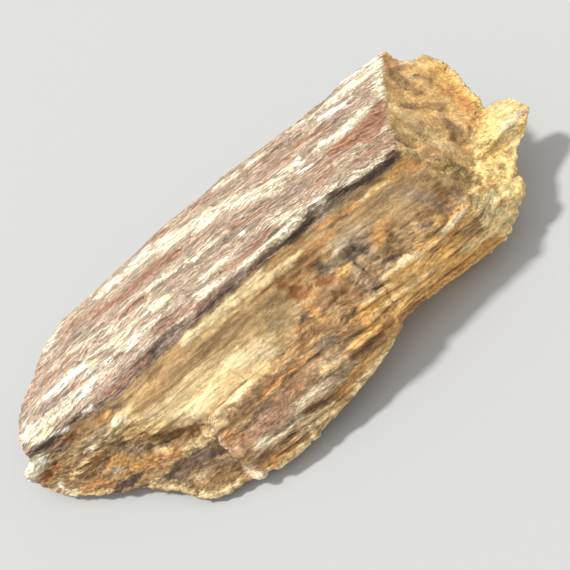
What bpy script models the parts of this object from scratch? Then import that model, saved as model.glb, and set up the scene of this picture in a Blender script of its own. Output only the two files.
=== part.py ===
"""Petrified wood: one split shard of a silicified trunk, lying on its flat split base.

Metres, +Z up.  X runs along the grain, Y across it.  The bark side is the wide, gently
rounded face on top (+Y half), the torn face with its raised slab slopes down to -Y, and
the broken end with its splinter is at +X.

The stone is lofted: grain lines run from the left rim to the edge of the broken end, a
ramp carries them on to the rim of that end, and a skirt takes the whole outline down to
a flat foot.
"""
import math

import bmesh
import bpy
from mathutils import Vector, noise

MM = 0.001

# ---------------------------------------------------------------- grain lines, in mm
# Each line runs along the grain, from the left rim to the edge of the broken end.
# They lie side by side over the top of the stone, from the back edge to the front hem.
GRAIN_LINES = {
    "back_edge": [(-39.5, 26.8, 12), (-33.5, 25, 14), (-27.5, 22.8, 16), (-18.5, 21.2, 18),
                  (-10.5, 21.2, 19.2), (-4, 20.4, 20.3), (4.5, 18.6, 21.5), (12.5, 18.2, 22.2),
                  (23, 16.8, 23.2), (28.5, 15.5, 23.6), (37, 15.5, 24.1), (42.5, 14.2, 24.6),
                  (50, 14.8, 25), (61, 13, 25.5)],
    "bark_a": [(-47.5, 22.5, 12.3), (-30, 19.2, 17), (-7, 15.5, 21.6), (20, 12.6, 25),
               (50, 10, 26.4), (57, 8.5, 26.4)],
    "bark_b": [(-53, 16, 12.5), (-38, 14.5, 17), (-20, 10.8, 20.8), (0, 9, 24.2),
               (20, 7.5, 26.2), (40, 5.5, 27), (53.2, 3.7, 27)],
    "bark_c": [(-59.8, 10.6, 12), (-45, 8, 17), (-30, 5, 20.8), (-10, 2, 24.8),
               (10, 0, 27.2), (30, -1.5, 28.2), (46.6, -4, 28.2)],
    "bark_d": [(-62.4, 5, 11.5), (-52, 2, 16.2), (-35, -2, 20.8), (-15, -5.5, 24.8),
               (5, -7.5, 27.6), (25, -9.5, 28.9), (41.2, -12.4, 29.1)],
    "ridge": [(-62.5, -0.5, 11.3), (-53, -4.3, 15), (-45, -7.6, 17.5), (-34, -9.6, 20.5),
              (-24.5, -11.1, 22.5), (-15, -12.8, 24.5), (-5, -13.1, 26), (4, -14.6, 27.5),
              (12, -15.2, 28), (20, -16, 28.8), (26, -17.8, 29.1), (35.9, -19.1, 29.5)],
    "band_foot": [(-63.2, -0.2, 9), (-53, -6.2, 13), (-45, -9.8, 15.5), (-34, -12, 18.4),
                  (-15, -14.8, 22.3), (4, -16.5, 25.2), (20, -18.2, 26.8), (37.1, -21, 27.1)],
    "tan_upper": [(-66.6, 0.8, 6), (-56.5, -5.5, 10.5), (-47.5, -11.5, 13), (-34.5, -15.5, 16.6),
                  (-21, -17.5, 18.9), (-7.5, -19, 20.9), (6, -20.3, 22.7), (19, -21.9, 23.7),
                  (30, -23.5, 24), (38.4, -25.6, 22.9)],
    "tan_lower": [(-66.5, -0.6, 4.2), (-56, -9, 8), (-46.5, -14.5, 10), (-33.5, -20, 12.4),
                  (-20, -22.6, 14.5), (-7, -24.4, 16.5), (6.5, -26.4, 18.6), (19, -27.7, 20),
                  (30, -28.8, 20.3), (38.8, -29.6, 19.3)],
    "slab_line": [(-64.4, -4.2, 3), (-55, -11.5, 6), (-46, -17, 7.6), (-33, -23.4, 9.2),
                  (-28, -26.4, 10), (-16.2, -27.3, 12), (-5, -28.9, 13.2), (6, -31.7, 15.5),
                  (16.3, -32.6, 17), (25.8, -33.2, 17.3), (37.9, -33, 17.2)],
    "side": [(-63.2, -6.8, 2.6), (-54.5, -14.5, 3.8), (-45, -21.5, 4.6), (-37, -30, 4),
             (-28, -32.4, 6.2), (-16, -34.2, 8), (-5, -35.2, 9.4), (5.5, -36, 11),
             (16, -35.6, 12.6), (26, -35.7, 12.8), (39, -36, 12)],
    "hem": [(-62, -8.8, 2.4), (-56, -15.2, 2.4), (-50, -20, 2.8), (-46.5, -22.4, 3),
            (-43.6, -26.3, 2.4), (-41, -30, 2), (-39.2, -32.6, 1.7), (-37.8, -35.2, 1.5),
            (-34.6, -36.5, 1.5), (-28.5, -37.9, 2.5), (-22, -39.4, 2.5), (-15.5, -40.1, 3.5),
            (-6.5, -40, 4.8), (-2.5, -40.3, 5.3), (2.5, -39.2, 5.8), (8, -38.6, 6.8),
            (14.3, -37.3, 8), (21.6, -36.8, 7.6), (34.3, -37.2, 6.8), (44, -37.6, 6)],
}
LINE_NAMES = list(GRAIN_LINES)
LINE_INDEX = {name: index for index, name in enumerate(LINE_NAMES)}

# Cross lines of the broken end, as (place across, point): 0 is the back edge, 11 the hem.
RAMP_FOOT = [(0, (64.8, 10.4, 22)), (1, (67, 6.5, 19.5)), (2, (67.5, 2.2, 18)),
             (3, (65, -4.8, 16.5)), (4, (60.8, -12.6, 15.5)), (5, (57.4, -16.6, 15.5)),
             (6, (55, -18.7, 15.3)), (7, (51.8, -21.8, 15)), (8, (48.3, -24.8, 15)),
             (9, (44, -30, 15.5)), (10, (43, -34.8, 12)), (11, (45.5, -37.4, 6.2))]
END_RIM = [(0, (70.6, 8.5, 19)), (1, (71.5, 5.8, 18)), (2, (71.3, 2.2, 17)),
           (3, (69.6, -3.6, 16.2)), (4, (68, -9.6, 14.8)), (4.6, (67.6, -11.6, 13.8)),
           (5, (71, -12.4, 13.4)), (5.5, (73.8, -14.2, 13.2)), (6, (74.1, -17, 13.2)),
           (6.5, (74.2, -19.8, 12.4)), (7, (70.6, -22, 11.6)), (7.5, (67.4, -23.6, 11.1)),
           (8, (63.3, -25.7, 10.9)), (8.4, (58.7, -28, 10.8)), (8.6, (59, -29.8, 10.5)),
           (9, (58, -31, 10.3)), (9.25, (56.8, -32, 9.7)), (9.5, (56.2, -33.4, 9.1)),
           (9.75, (54.8, -34.2, 8.6)), (10, (53, -33.9, 7.9)), (10.5, (50.6, -35.3, 7)),
           (11, (48.2, -36.8, 6.2))]

# ---------------------------------------------------------------- grid and outline skirt
ROWS_PER_STRIP = (4, 4, 5, 5, 5, 2, 4, 6, 5, 4, 4)   # grid rows between grain lines
MAIN_COLUMNS = 54                                      # grid columns along the grain
RAMP_COLUMNS = 7                                       # down the ramp of the broken end
RIM_COLUMNS = 5                                        # across its rim, out to the splinter
ALL_COLUMNS = MAIN_COLUMNS + RAMP_COLUMNS + RIM_COLUMNS

RAMP_BOW_BARK = -0.9    # the ramp sags under the bark face, and swells under the torn face
RAMP_BOW_FRONT = 1.1

FRONT_INSET = 7.0     # how far the foot lies inside the outline, per side
LEFT_INSET = 5.0
RIGHT_INSET = 17.0
BACK_SPREAD = 6.5     # how far the back spreads out to its foot, at the broken end
LEFT_BLEND = 0.10     # share of the length over which an end's inset fades in
RIGHT_BLEND = 0.20
SIDE_BLEND = 0.22     # share of the width over which a side's inset fades in
BELLY_PLACE = 2.0     # the back's belly fades out over these grain lines
BELLY_SWELL = 17.0    # size of the swells that make the belly uneven
MEAN_SWELL = 0.7
# The skirt's rings, as (share of the drop, share of the insets, share of the back's
# spread, belly of the back in mm).
SKIRT_RINGS = ((0.14, 0.12, 0.04, 0.3), (0.38, 0.46, 0.16, 0.8), (0.46, 0.64, 0.62, 1.4),
               (0.78, 0.86, 0.80, 1.2), (1.0, 1.0, 1.0, 0.0))

# ---------------------------------------------------------------- relief, in mm
WAVE_HEIGHT = 0.9        # long swells of the split faces
WAVE_LENGTH = 42.0
WAVE_WIDTH = 9.0
FIBRE_HEIGHT = 0.6       # fibre ridges between them
FIBRE_LENGTH = 34.0
FIBRE_WIDTH = 4.6
CRUMB_HEIGHT = 0.9       # lumps of the broken end and of the weathered lower left
CRUMB_SIZE = 5.5
CRUMB_STRETCH = 0.6      # crumbs are longer along the grain
CRUMB_END_COLUMNS = 4.0  # they fade in over these columns at the broken end
CRUMB_LEFT_X = -32.0     # and over this corner at the lower left
CRUMB_LEFT_X_FADE = 12.0
CRUMB_LEFT_PLACE = 6.0
CRUMB_LEFT_PLACE_FADE = 2.0
SKIRT_HEIGHT = 1.5       # ledges along the hidden back and the undercut
SKIRT_LENGTH = 26.0
SKIRT_WIDTH = 4.0
LEDGE_RISE = 0.12        # how far the ledges climb and fall, as a share of the drop
LEDGE_RUN = 19.0
FOOT_WANDER = 1.6        # how far the foot's outline wanders in and out
FOOT_WANDER_SIZE = 8.0
OUTLINE_RELIEF = 0.25    # share of the relief that is left at the outline
OUTLINE_FADE_PLACE = 0.8
OUTLINE_FADE_COLUMNS = 2.0
LUMP_REACH = 1.5         # a lump ends at this many half sizes from its middle

# Each noise is read at a place of its own, so that no two line up.
WAVE_SEED = 3.1
FIBRE_SEED = 11.7
SKIRT_SEED = 23.0
LEDGE_SEED = 31.0
FOOT_SEED = 40.0

# The raised slab along the front: its broken left end, its back edge and how it fades out.
SLAB_END_COLUMN = 19
SLAB_BACK_PLACE = 8.9
SLAB_HEIGHT = 1.6
SLAB_FADE_FROM = 2.0
SLAB_FADE_TO = 34.0

# Raised or sunk places: (x, place across, half length, half width across, height).
LUMPS = {
    "hollow": (-35.5, 8.85, 4.6, 0.28, -1.6),
    "hollow_lip": (-38, 9.3, 5, 0.35, 0.6),
    "band_step_low": (-36, 5.5, 7, 0.8, 0.6),
    "band_step_high": (23, 5.5, 6, 0.9, 0.8),
    "left_lump": (-64, 7.0, 3.0, 0.8, 0.7),
    "left_gully": (-50, 8.3, 6, 0.35, -0.8),
    "cream_flake": (-12, 8.0, 7, 0.5, 0.5),
    "upper_strip": (15, 6.6, 20, 0.3, 0.5),
    "ledge_strip": (31, 8.9, 7, 0.25, 0.8),
    "side_groove": (10, 9.5, 24, 0.25, -0.6),
    "rust_pit": (1, 7.6, 5, 0.4, -0.8),
    "rim_lump": (53, 9.3, 3, 0.4, 0.8),
    "rim_pit": (56, 6.6, 2.5, 0.3, -0.8),
    "splinter_spine": (66, 6.9, 8, 0.3, 1.2),
}

STONE_COLOUR = (0.60, 0.46, 0.28, 1.0)
STONE_ROUGHNESS = 0.72


def clear_scene():
    """Take every object out of the scene."""
    for old in list(bpy.data.objects):
        bpy.data.objects.remove(old, do_unlink=True)


def smooth_step(value):
    """Ease from 0 to 1."""
    value = min(max(value, 0.0), 1.0)
    return value * value * (3.0 - 2.0 * value)


def along(points, x):
    """The point of a grain line at x, by straight runs between its own points."""
    for first, second in zip(points, points[1:]):
        if x <= second[0]:
            share = (x - first[0]) / (second[0] - first[0])
            return Vector(first).lerp(Vector(second), share)
    return Vector(points[-1])


def across(cross_line, place):
    """The point of a cross line at a place across the stone."""
    for (low, first), (high, second) in zip(cross_line, cross_line[1:]):
        if place <= high:
            return Vector(first).lerp(Vector(second), (place - low) / (high - low))
    return Vector(cross_line[-1][1])


def top_point(share, place):
    """The main part of the top: share 0 is the left rim, 1 the edge of the broken end."""
    index = min(int(place), len(LINE_NAMES) - 2)
    ends = []
    for name in LINE_NAMES[index:index + 2]:
        points = GRAIN_LINES[name]
        x = points[0][0] + (points[-1][0] - points[0][0]) * share
        ends.append(along(points, x))
    return ends[0].lerp(ends[1], place - index)


def surface_point(column, place):
    """A point of the lofted top, before its relief."""
    if column <= MAIN_COLUMNS:
        return top_point(column / MAIN_COLUMNS, place)
    foot = across(RAMP_FOOT, place)
    if column <= MAIN_COLUMNS + RAMP_COLUMNS:
        share = (column - MAIN_COLUMNS) / RAMP_COLUMNS
        point = top_point(1.0, place).lerp(foot, share)
        bow = RAMP_BOW_FRONT if place > LINE_INDEX["ridge"] else RAMP_BOW_BARK
        point.z += bow * math.sin(math.pi * share)
        return point
    share = (column - MAIN_COLUMNS - RAMP_COLUMNS) / RIM_COLUMNS
    return foot.lerp(across(END_RIM, place), share)


def grain_noise(point, length, width, seed):
    """Noise drawn out along the grain."""
    return noise.noise(Vector((point.x / length + seed, point.y / width, point.z / width)))


def relief(point, column, place):
    """How far the surface stands out or in at a point, in mm."""
    height = WAVE_HEIGHT * grain_noise(point, WAVE_LENGTH, WAVE_WIDTH, WAVE_SEED)
    ridge = 1.0 - 2.0 * abs(grain_noise(point, FIBRE_LENGTH, FIBRE_WIDTH, FIBRE_SEED))
    height += FIBRE_HEIGHT * (ridge - 0.5)
    end_share = smooth_step((column - MAIN_COLUMNS) / CRUMB_END_COLUMNS)
    low_left = smooth_step((place - CRUMB_LEFT_PLACE) / CRUMB_LEFT_PLACE_FADE)
    low_left *= smooth_step((CRUMB_LEFT_X - point.x) / CRUMB_LEFT_X_FADE)
    spot = Vector((CRUMB_STRETCH * point.x, point.y, point.z)) / CRUMB_SIZE
    height += CRUMB_HEIGHT * noise.noise(spot) * max(end_share, low_left)
    slab_fade = 1.0 - smooth_step((point.x - SLAB_FADE_FROM) / (SLAB_FADE_TO - SLAB_FADE_FROM))
    if column >= SLAB_END_COLUMN and place > SLAB_BACK_PLACE:
        height += SLAB_HEIGHT * slab_fade
    for x, lump_place, half_length, half_width, lump_height in LUMPS.values():
        distance = math.hypot((point.x - x) / half_length, (place - lump_place) / half_width)
        height += lump_height * smooth_step(LUMP_REACH - distance)
    side = min(place, LINE_INDEX["hem"] - place) / OUTLINE_FADE_PLACE
    end = min(column, ALL_COLUMNS - column) / OUTLINE_FADE_COLUMNS
    return height * (OUTLINE_RELIEF + (1.0 - OUTLINE_RELIEF) * smooth_step(min(side, end)))


def build_top(mesh):
    """The lofted top: a grid primitive bent over the grain lines, then given its relief."""
    places = [0.0]
    for strip, rows in enumerate(ROWS_PER_STRIP):
        places += [strip + (row + 1) / rows for row in range(rows)]
    rows = len(places) - 1
    grid = bmesh.ops.create_grid(mesh, x_segments=ALL_COLUMNS, y_segments=rows, size=0.5)
    spots = {}
    for vert in grid["verts"]:
        column = round((vert.co.x + 0.5) * ALL_COLUMNS)
        row = round((0.5 - vert.co.y) * rows)
        spots[vert] = (column, places[row])
        vert.co = surface_point(column, places[row])
    mesh.normal_update()
    moved = {}
    for vert, (column, place) in spots.items():
        moved[vert] = vert.co + vert.normal * relief(vert.co, column, place)
    for vert, position in moved.items():
        vert.co = position
    return spots


def skirt_directions(column, place):
    """In plan: the ways in and back from the outline to the foot, and straight out."""
    length_share = column / ALL_COLUMNS
    width_share = place / LINE_INDEX["hem"]
    left = smooth_step(1.0 - length_share / LEFT_BLEND)
    right = smooth_step(1.0 - (1.0 - length_share) / RIGHT_BLEND)
    front = smooth_step(1.0 - (1.0 - width_share) / SIDE_BLEND)
    back = smooth_step(1.0 - width_share / SIDE_BLEND)
    inset = Vector((LEFT_INSET * left - RIGHT_INSET * right, FRONT_INSET * front, 0.0))
    spread = Vector((0.0, BACK_SPREAD * length_share * back, 0.0))
    outward = Vector((right - left, back - front, 0.0)).normalized()
    return inset, spread, outward


def build_skirt(mesh, spots):
    """The sides under the outline: its edge is extruded ring by ring down to the foot."""
    outline = {vert: (vert.co.copy(), spots[vert]) for vert in spots if vert.is_boundary}
    home = {vert: vert for vert in outline}
    edges = [edge for edge in mesh.edges if edge.is_boundary]
    last = len(SKIRT_RINGS) - 1
    for ring, (drop, inset_share, spread_share, belly) in enumerate(SKIRT_RINGS):
        before = {frozenset(edge.verts): edge for edge in edges}
        made = bmesh.ops.extrude_edge_only(mesh, edges=edges)["geom"]
        new_verts = [item for item in made if isinstance(item, bmesh.types.BMVert)]
        edges = [item for item in made if isinstance(item, bmesh.types.BMEdge)
                 and item.is_boundary and frozenset(item.verts) not in before]
        new_home = {}
        for vert in new_verts:
            source = next(edge.other_vert(vert) for edge in vert.link_edges
                          if edge.other_vert(vert) in home)
            new_home[vert] = home[source]
        for vert, start in new_home.items():
            point, (column, place) = outline[start]
            inset, spread, outward = skirt_directions(column, place)
            swell = MEAN_SWELL + noise.noise(Vector((point.x, point.y, 0.0)) / BELLY_SWELL)
            bulge = belly * swell * smooth_step(1.0 - place / BELLY_PLACE)
            spot = point + inset * inset_share + spread * spread_share + outward * bulge
            climb = noise.noise(Vector((point.x, point.y, LEDGE_SEED)) / LEDGE_RUN)
            spot.z = point.z * (1.0 - drop + LEDGE_RISE * climb * drop * (1.0 - drop) * 4.0)
            ledge = SKIRT_HEIGHT * grain_noise(spot, SKIRT_LENGTH, SKIRT_WIDTH, SKIRT_SEED)
            around = Vector((spot.x, spot.y, FOOT_SEED)) / FOOT_WANDER_SIZE
            wander = FOOT_WANDER * noise.noise(around)
            spot += outward * (wander * drop + (ledge if ring < last else 0.0))
            vert.co = spot
        home = new_home
    return edges


def build_stone():
    """One closed solid: top, skirt and flat foot, centred over the origin."""
    mesh = bmesh.new()
    spots = build_top(mesh)
    foot_edges = build_skirt(mesh, spots)
    bmesh.ops.edgeloop_fill(mesh, edges=foot_edges)
    bmesh.ops.triangulate(mesh, faces=[face for face in mesh.faces if len(face.verts) > 4])
    bmesh.ops.recalc_face_normals(mesh, faces=mesh.faces)
    low = Vector([min(vert.co[axis] for vert in mesh.verts) for axis in range(3)])
    high = Vector([max(vert.co[axis] for vert in mesh.verts) for axis in range(3)])
    centre = Vector(((low.x + high.x) / 2, (low.y + high.y) / 2, low.z))
    bmesh.ops.translate(mesh, verts=mesh.verts, vec=-centre)
    bmesh.ops.scale(mesh, verts=mesh.verts, vec=Vector((MM, MM, MM)))
    data = bpy.data.meshes.new("petrified_wood")
    mesh.to_mesh(data)
    mesh.free()
    return data


def stone_material():
    """Silicified wood, tan all through."""
    material = bpy.data.materials.new("silicified_wood")
    material.use_nodes = True
    shader = material.node_tree.nodes["Principled BSDF"]
    shader.inputs["Base Color"].default_value = STONE_COLOUR
    shader.inputs["Roughness"].default_value = STONE_ROUGHNESS
    shader.inputs["Metallic"].default_value = 0.0
    material.diffuse_color = STONE_COLOUR
    return material


def main():
    clear_scene()
    data = build_stone()
    data.materials.append(stone_material())
    stone = bpy.data.objects.new("petrified_wood", data)
    bpy.context.collection.objects.link(stone)


main()
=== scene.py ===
"""Petrified wood: the finish of one split shard of a silicified trunk.

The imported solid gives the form.  Here its copy is smoothed, carved with fibres, ledges and
cracks, stained with the colours that minerals gave the wood, and set on a studio floor.
"""
import math

import bpy
import numpy as np
from mathutils import Matrix, Vector, noise


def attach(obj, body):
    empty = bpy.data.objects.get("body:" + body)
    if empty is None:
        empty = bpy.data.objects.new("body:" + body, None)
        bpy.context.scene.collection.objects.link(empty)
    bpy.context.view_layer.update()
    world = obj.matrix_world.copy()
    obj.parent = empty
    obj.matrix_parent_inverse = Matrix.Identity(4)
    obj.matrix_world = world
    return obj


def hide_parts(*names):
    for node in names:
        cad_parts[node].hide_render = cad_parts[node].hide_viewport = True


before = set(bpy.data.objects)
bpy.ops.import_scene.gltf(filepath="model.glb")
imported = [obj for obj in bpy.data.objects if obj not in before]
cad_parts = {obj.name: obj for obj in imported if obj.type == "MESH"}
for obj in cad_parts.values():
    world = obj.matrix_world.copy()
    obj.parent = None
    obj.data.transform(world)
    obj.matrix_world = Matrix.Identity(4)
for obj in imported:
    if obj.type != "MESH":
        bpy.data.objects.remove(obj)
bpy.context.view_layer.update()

# ---------------------------------------------------------------- camera
# A short telephoto lens held above the shard's front left, turned so that the shard lies
# across the view from the lower left to the upper right.
MM = 0.001
CAMERA_PLACE = Vector((-31.57, -116.35, 135.0)) * MM
VIEW_RIGHT = Vector((0.749, -0.576, -0.328))
VIEW_UP = Vector((0.636, 0.486, 0.599))
LENS = 48.0
NEAREST_SEEN = 1.0 * MM
view_right = VIEW_RIGHT.normalized()
view_up = (VIEW_UP - view_right * VIEW_UP.dot(view_right)).normalized()
view_back = view_right.cross(view_up)
camera_data = bpy.data.cameras.new("camera")
camera_data.lens = LENS
camera_data.clip_start = NEAREST_SEEN
camera = bpy.data.objects.new("camera", camera_data)
bpy.context.collection.objects.link(camera)
view_axes = Matrix((view_right, view_up, view_back)).transposed().to_4x4()
camera.matrix_world = Matrix.Translation(CAMERA_PLACE) @ view_axes
bpy.context.scene.camera = camera

# ---------------------------------------------------------------- the stone's body
# One shard of a trunk turned to chalcedony.  It split off along the grain, so its long
# faces are split faces, and its +X end is broken across the grain.
SAME_POINT = 0.01 * MM
QUAD_ANGLE = math.radians(60)
SHARP_EDGE = math.radians(38)
EDGE_CREASE = 0.55
SMOOTHING_LEVELS = 2
bpy.ops.object.select_all(action="DESELECT")
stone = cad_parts["petrified_wood"].copy()
stone.data = stone.data.copy()
stone.name = "stone"
stone.data.name = "stone"
for key in list(stone.keys()):
    del stone[key]
bpy.context.collection.objects.link(stone)
stone.parent = None
bpy.context.view_layer.objects.active = stone
stone.select_set(True)
bpy.ops.object.mode_set(mode="EDIT")
bpy.ops.mesh.select_mode(type="EDGE")
bpy.ops.mesh.select_all(action="SELECT")
bpy.ops.mesh.remove_doubles(threshold=SAME_POINT)
bpy.ops.mesh.tris_convert_to_quads(face_threshold=QUAD_ANGLE, shape_threshold=QUAD_ANGLE)
bpy.ops.mesh.select_all(action="DESELECT")
bpy.ops.mesh.edges_select_sharp(sharpness=SHARP_EDGE)
bpy.ops.transform.edge_crease(value=EDGE_CREASE)
bpy.ops.object.mode_set(mode="OBJECT")
subdivision = stone.modifiers.new("subdivision", "SUBSURF")
subdivision.levels = SMOOTHING_LEVELS
subdivision.render_levels = SMOOTHING_LEVELS
bpy.ops.object.modifier_apply(modifier=subdivision.name)
bpy.ops.object.shade_smooth()

# ---------------------------------------------------------------- the chipped corner
# The broken end's foot and the back's foot met in a thin fin, which chipped off long ago.
# The corner is drawn in and rounded where it was.
FIN_X, FIN_Y, FIN_TOP = 51.0, 20.0, 17.5
FIN_LEFT = 0.15                      # share of the fin's length that is left
FIN_FADE_Y, FIN_FADE_Z = 2.0, 10.0
TUCK = 0.8                           # share by which the back's foot draws in beside it
TUCK_RUN = (38.0, 54.0)
TUCK_FADE_Z = 3.0
CHIP_LOW = (48.0, 16.5, -1.0)        # the chipped corner's box
CHIP_TOP = 18.5
CHIP_ROUNDS = 12
CHIP_SMOOTHING = 0.5
ON_FLOOR = 0.01
vertex_count = len(stone.data.vertices)


def read_vertices(name):
    """A value of three numbers from each vertex of the stone."""
    flat = np.empty(vertex_count * 3)
    stone.data.vertices.foreach_get(name, flat)
    return flat.reshape(-1, 3)


def place_vertices(places):
    """Put the stone's vertices at places in mm."""
    stone.data.vertices.foreach_set("co", (places * MM).ravel())
    stone.data.update()


def ramp(value, start, end):
    """Ease from 0 at the start to 1 at the end."""
    share = np.clip((value - start) / (end - start), 0.0, 1.0)
    return share * share * (3.0 - 2.0 * share)


places = read_vertices("co") / MM
x, y, z = places.T
fin = ramp(y, FIN_Y, FIN_Y + FIN_FADE_Y) * ramp(z, FIN_TOP, FIN_TOP - FIN_FADE_Z)
places[:, 0] -= fin * (1.0 - FIN_LEFT) * np.maximum(x - FIN_X, 0.0)
tuck = TUCK * ramp(x, *TUCK_RUN) * ramp(z, FIN_TOP, FIN_TOP - TUCK_FADE_Z)
places[:, 1] -= tuck * np.maximum(y - FIN_Y, 0.0)
on_floor = z < ON_FLOOR
place_vertices(places)
chipped = (places > CHIP_LOW).all(axis=1) & (z < CHIP_TOP)
stone.data.vertices.foreach_set("select", chipped)
bpy.ops.object.mode_set(mode="EDIT")
bpy.ops.mesh.select_mode(type="VERT")
bpy.ops.mesh.vertices_smooth(factor=CHIP_SMOOTHING, repeat=CHIP_ROUNDS)
bpy.ops.object.mode_set(mode="OBJECT")
places = read_vertices("co") / MM
places[on_floor, 2] = 0.0
place_vertices(places)
x, y, z = places.T
normal_x, normal_y, normal_z = read_vertices("normal").T

# ---------------------------------------------------------------- the grain
# The wood's fibres run along the shard, a little turned from its length, and the split
# faces follow them.  The trunk's layers lie parallel to the bark.
GRAIN_TURN = math.radians(-9.5)
RIDGE_HEIGHT = 29.5          # of the ridge where it is level, in mm
RIDGE_DROP = 18.5            # how far it falls to the left tip
RIDGE_LEVEL_FROM = 32.0      # x where it becomes level
RIDGE_RUN = 98.0             # length of the fall
DEEPEST_FALL = 1.05
LAYER_PITCH = 2.6
LAYER_LEAN = math.radians(22)


def grain_places():
    """The vertices in mm as (along the grain, across it, height as a share of the ridge's)."""
    along = x * math.cos(GRAIN_TURN) + y * math.sin(GRAIN_TURN)
    across = y * math.cos(GRAIN_TURN) - x * math.sin(GRAIN_TURN)
    fall = np.clip((RIDGE_LEVEL_FROM - x) / RIDGE_RUN, 0.0, DEEPEST_FALL)
    ridge = RIDGE_HEIGHT - RIDGE_DROP * fall ** 2
    return np.column_stack((along, across, z * RIDGE_HEIGHT / ridge))


def waves(spots, height, length, width, seed):
    """Waves drawn out along the grain, up and down to about their height."""
    scaled = spots / (length, width, width) + seed
    return height * np.array([noise.noise(spot) for spot in scaled.tolist()])


grain = grain_places()
depth = grain[:, 1] * math.sin(LAYER_LEAN) + grain[:, 2] * math.cos(LAYER_LEAN)
layer = depth / LAYER_PITCH
layer += waves(grain, height=0.75, length=28.0, width=7.0, seed=41.0)
layer += waves(grain, height=0.3, length=9.0, width=3.0, seed=43.0)

# ---------------------------------------------------------------- the shard's faces
# The bark side is the old outside of the trunk.  The other long faces tore along the grain,
# the +X end broke across it, and a thin slab still clings along the front.
# Each outline is seen from above, with its corners in mm.
BARK_FACE = [(-80, 4), (-80, 45), (57, 45), (57, 19), (46, 6.5), (38, -4), (33, -13),
             (29, -13.5), (20, -13), (8, -11), (-2, -9), (-7.5, -8.5), (-18, -7),
             (-32, -4.5), (-46, -2), (-57, 2)]
END_FACE = [(57, 45), (57, 19), (46, 6.5), (38, -4), (33, -13), (46, -17.5),
            (55, -9), (64, -3), (67, 14.5), (70, 20)]
RIM = [(67, 14.5), (64, -3), (52.5, -11), (46, -17.5), (40, -24.5), (39, -36), (80, -36),
       (80, 14)]
SPLINTER = [(63.5, -4), (72, -4), (72, -14), (60, -18.5), (55, -13)]
FAR_FACET = [(53, -15.8), (61, -14.9), (71, -13.2), (73, -20), (55, -20)]
SIDE = [(36, -25), (45, -25), (45, -38), (9, -38), (10, -31.5), (-5.5, -32), (3, -27.5),
        (11.5, -27.5), (20.5, -27)]
SLAB = [(-31, -19.5), (-24, -21.5), (-20.5, -21.5), (-16.5, -23), (-9.5, -24), (-4.5, -25.5),
        (1, -27), (10, -31), (9, -38), (-31.5, -38), (-32.5, -24)]
LOWER_LEFT = [(-80, 6.5), (-66.5, 6), (-58, 2), (-46, -4.5), (-42, -12), (-33, -18.5),
              (-32.5, -24), (-31.5, -38), (-80, -38)]
HOLLOW = [(-42.5, -13), (-38, -14.5), (-33, -18), (-33.5, -19.5), (-37, -18), (-40, -18.5)]
BUTTER_PLATE = [(-22.5, -16), (-17, -17), (-13.5, -17.5), (-12, -20.5), (-13.5, -22.5),
                (-20.5, -21.5), (-31.5, -19), (-34, -16.5), (-27, -15.5)]
SMOOTH_TEAR = [(-57, 2), (-32, -4), (-7.5, -7.5), (20, -12), (33, -13), (40, -22),
               (16, -23.5), (-5, -19), (-12, -21), (-20, -21.5), (-31, -19), (-40, -12),
               (-48, -7)]
KNOTTY = [(-1.5, -13.5), (9.8, -16.5), (18.5, -23), (20.5, -27), (11.5, -27.5), (1, -27),
          (-9, -23), (-8, -21), (-3, -17.5), (-2.5, -15)]
BARK_FOOT = 16.0             # height of the bark's lower edge along the back
BARK_FOOT_RISE = 8.5         # how far it climbs to the left tip
BARK_FOOT_SINK = 1.5
BARK_FADE = 2.5


def patch(spots, corners, feather):
    """1 inside the outline of the corners, 0 outside, easing over the feather."""
    east, north = spots[:, 0], spots[:, 1]
    inside = np.zeros(len(spots), bool)
    nearest = np.full(len(spots), np.inf)
    for (x0, y0), (x1, y1) in zip(corners, corners[1:] + corners[:1]):
        if y1 != y0:
            crosses = (y0 > north) != (y1 > north)
            inside ^= crosses & (east < (x1 - x0) * (north - y0) / (y1 - y0) + x0)
        run = np.array((x1 - x0, y1 - y0))
        share = np.clip(((east - x0) * run[0] + (north - y0) * run[1]) / (run @ run), 0.0, 1.0)
        nearest = np.minimum(nearest, np.hypot(east - x0 - share * run[0], north - y0 - share * run[1]))
    return ramp(np.where(inside, nearest, -nearest), -0.5 * feather, 0.5 * feather)


def shift_along(along, across, rise):
    """The vertices' places moved along the grain, across it and up, in mm."""
    moved = places.copy()
    moved[:, 0] += along * math.cos(GRAIN_TURN) - across * math.sin(GRAIN_TURN)
    moved[:, 1] += along * math.sin(GRAIN_TURN) + across * math.cos(GRAIN_TURN)
    moved[:, 2] += rise
    return moved


# No face ends in a straight line: the outlines are read at places that wander a little.
edge_wander = waves(grain, height=1.0, length=5.0, width=2.0, seed=51.0)
wide_wander = waves(grain, height=1.0, length=6.0, width=2.5, seed=59.0)
nudged = shift_along(0.7 * edge_wander, waves(grain, height=0.4, length=4.0, width=1.5, seed=57.0), 0.0)
strayed = shift_along(1.8 * wide_wander, waves(grain, height=2.2, length=5.0, width=4.0, seed=61.0), 0.0)

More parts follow.
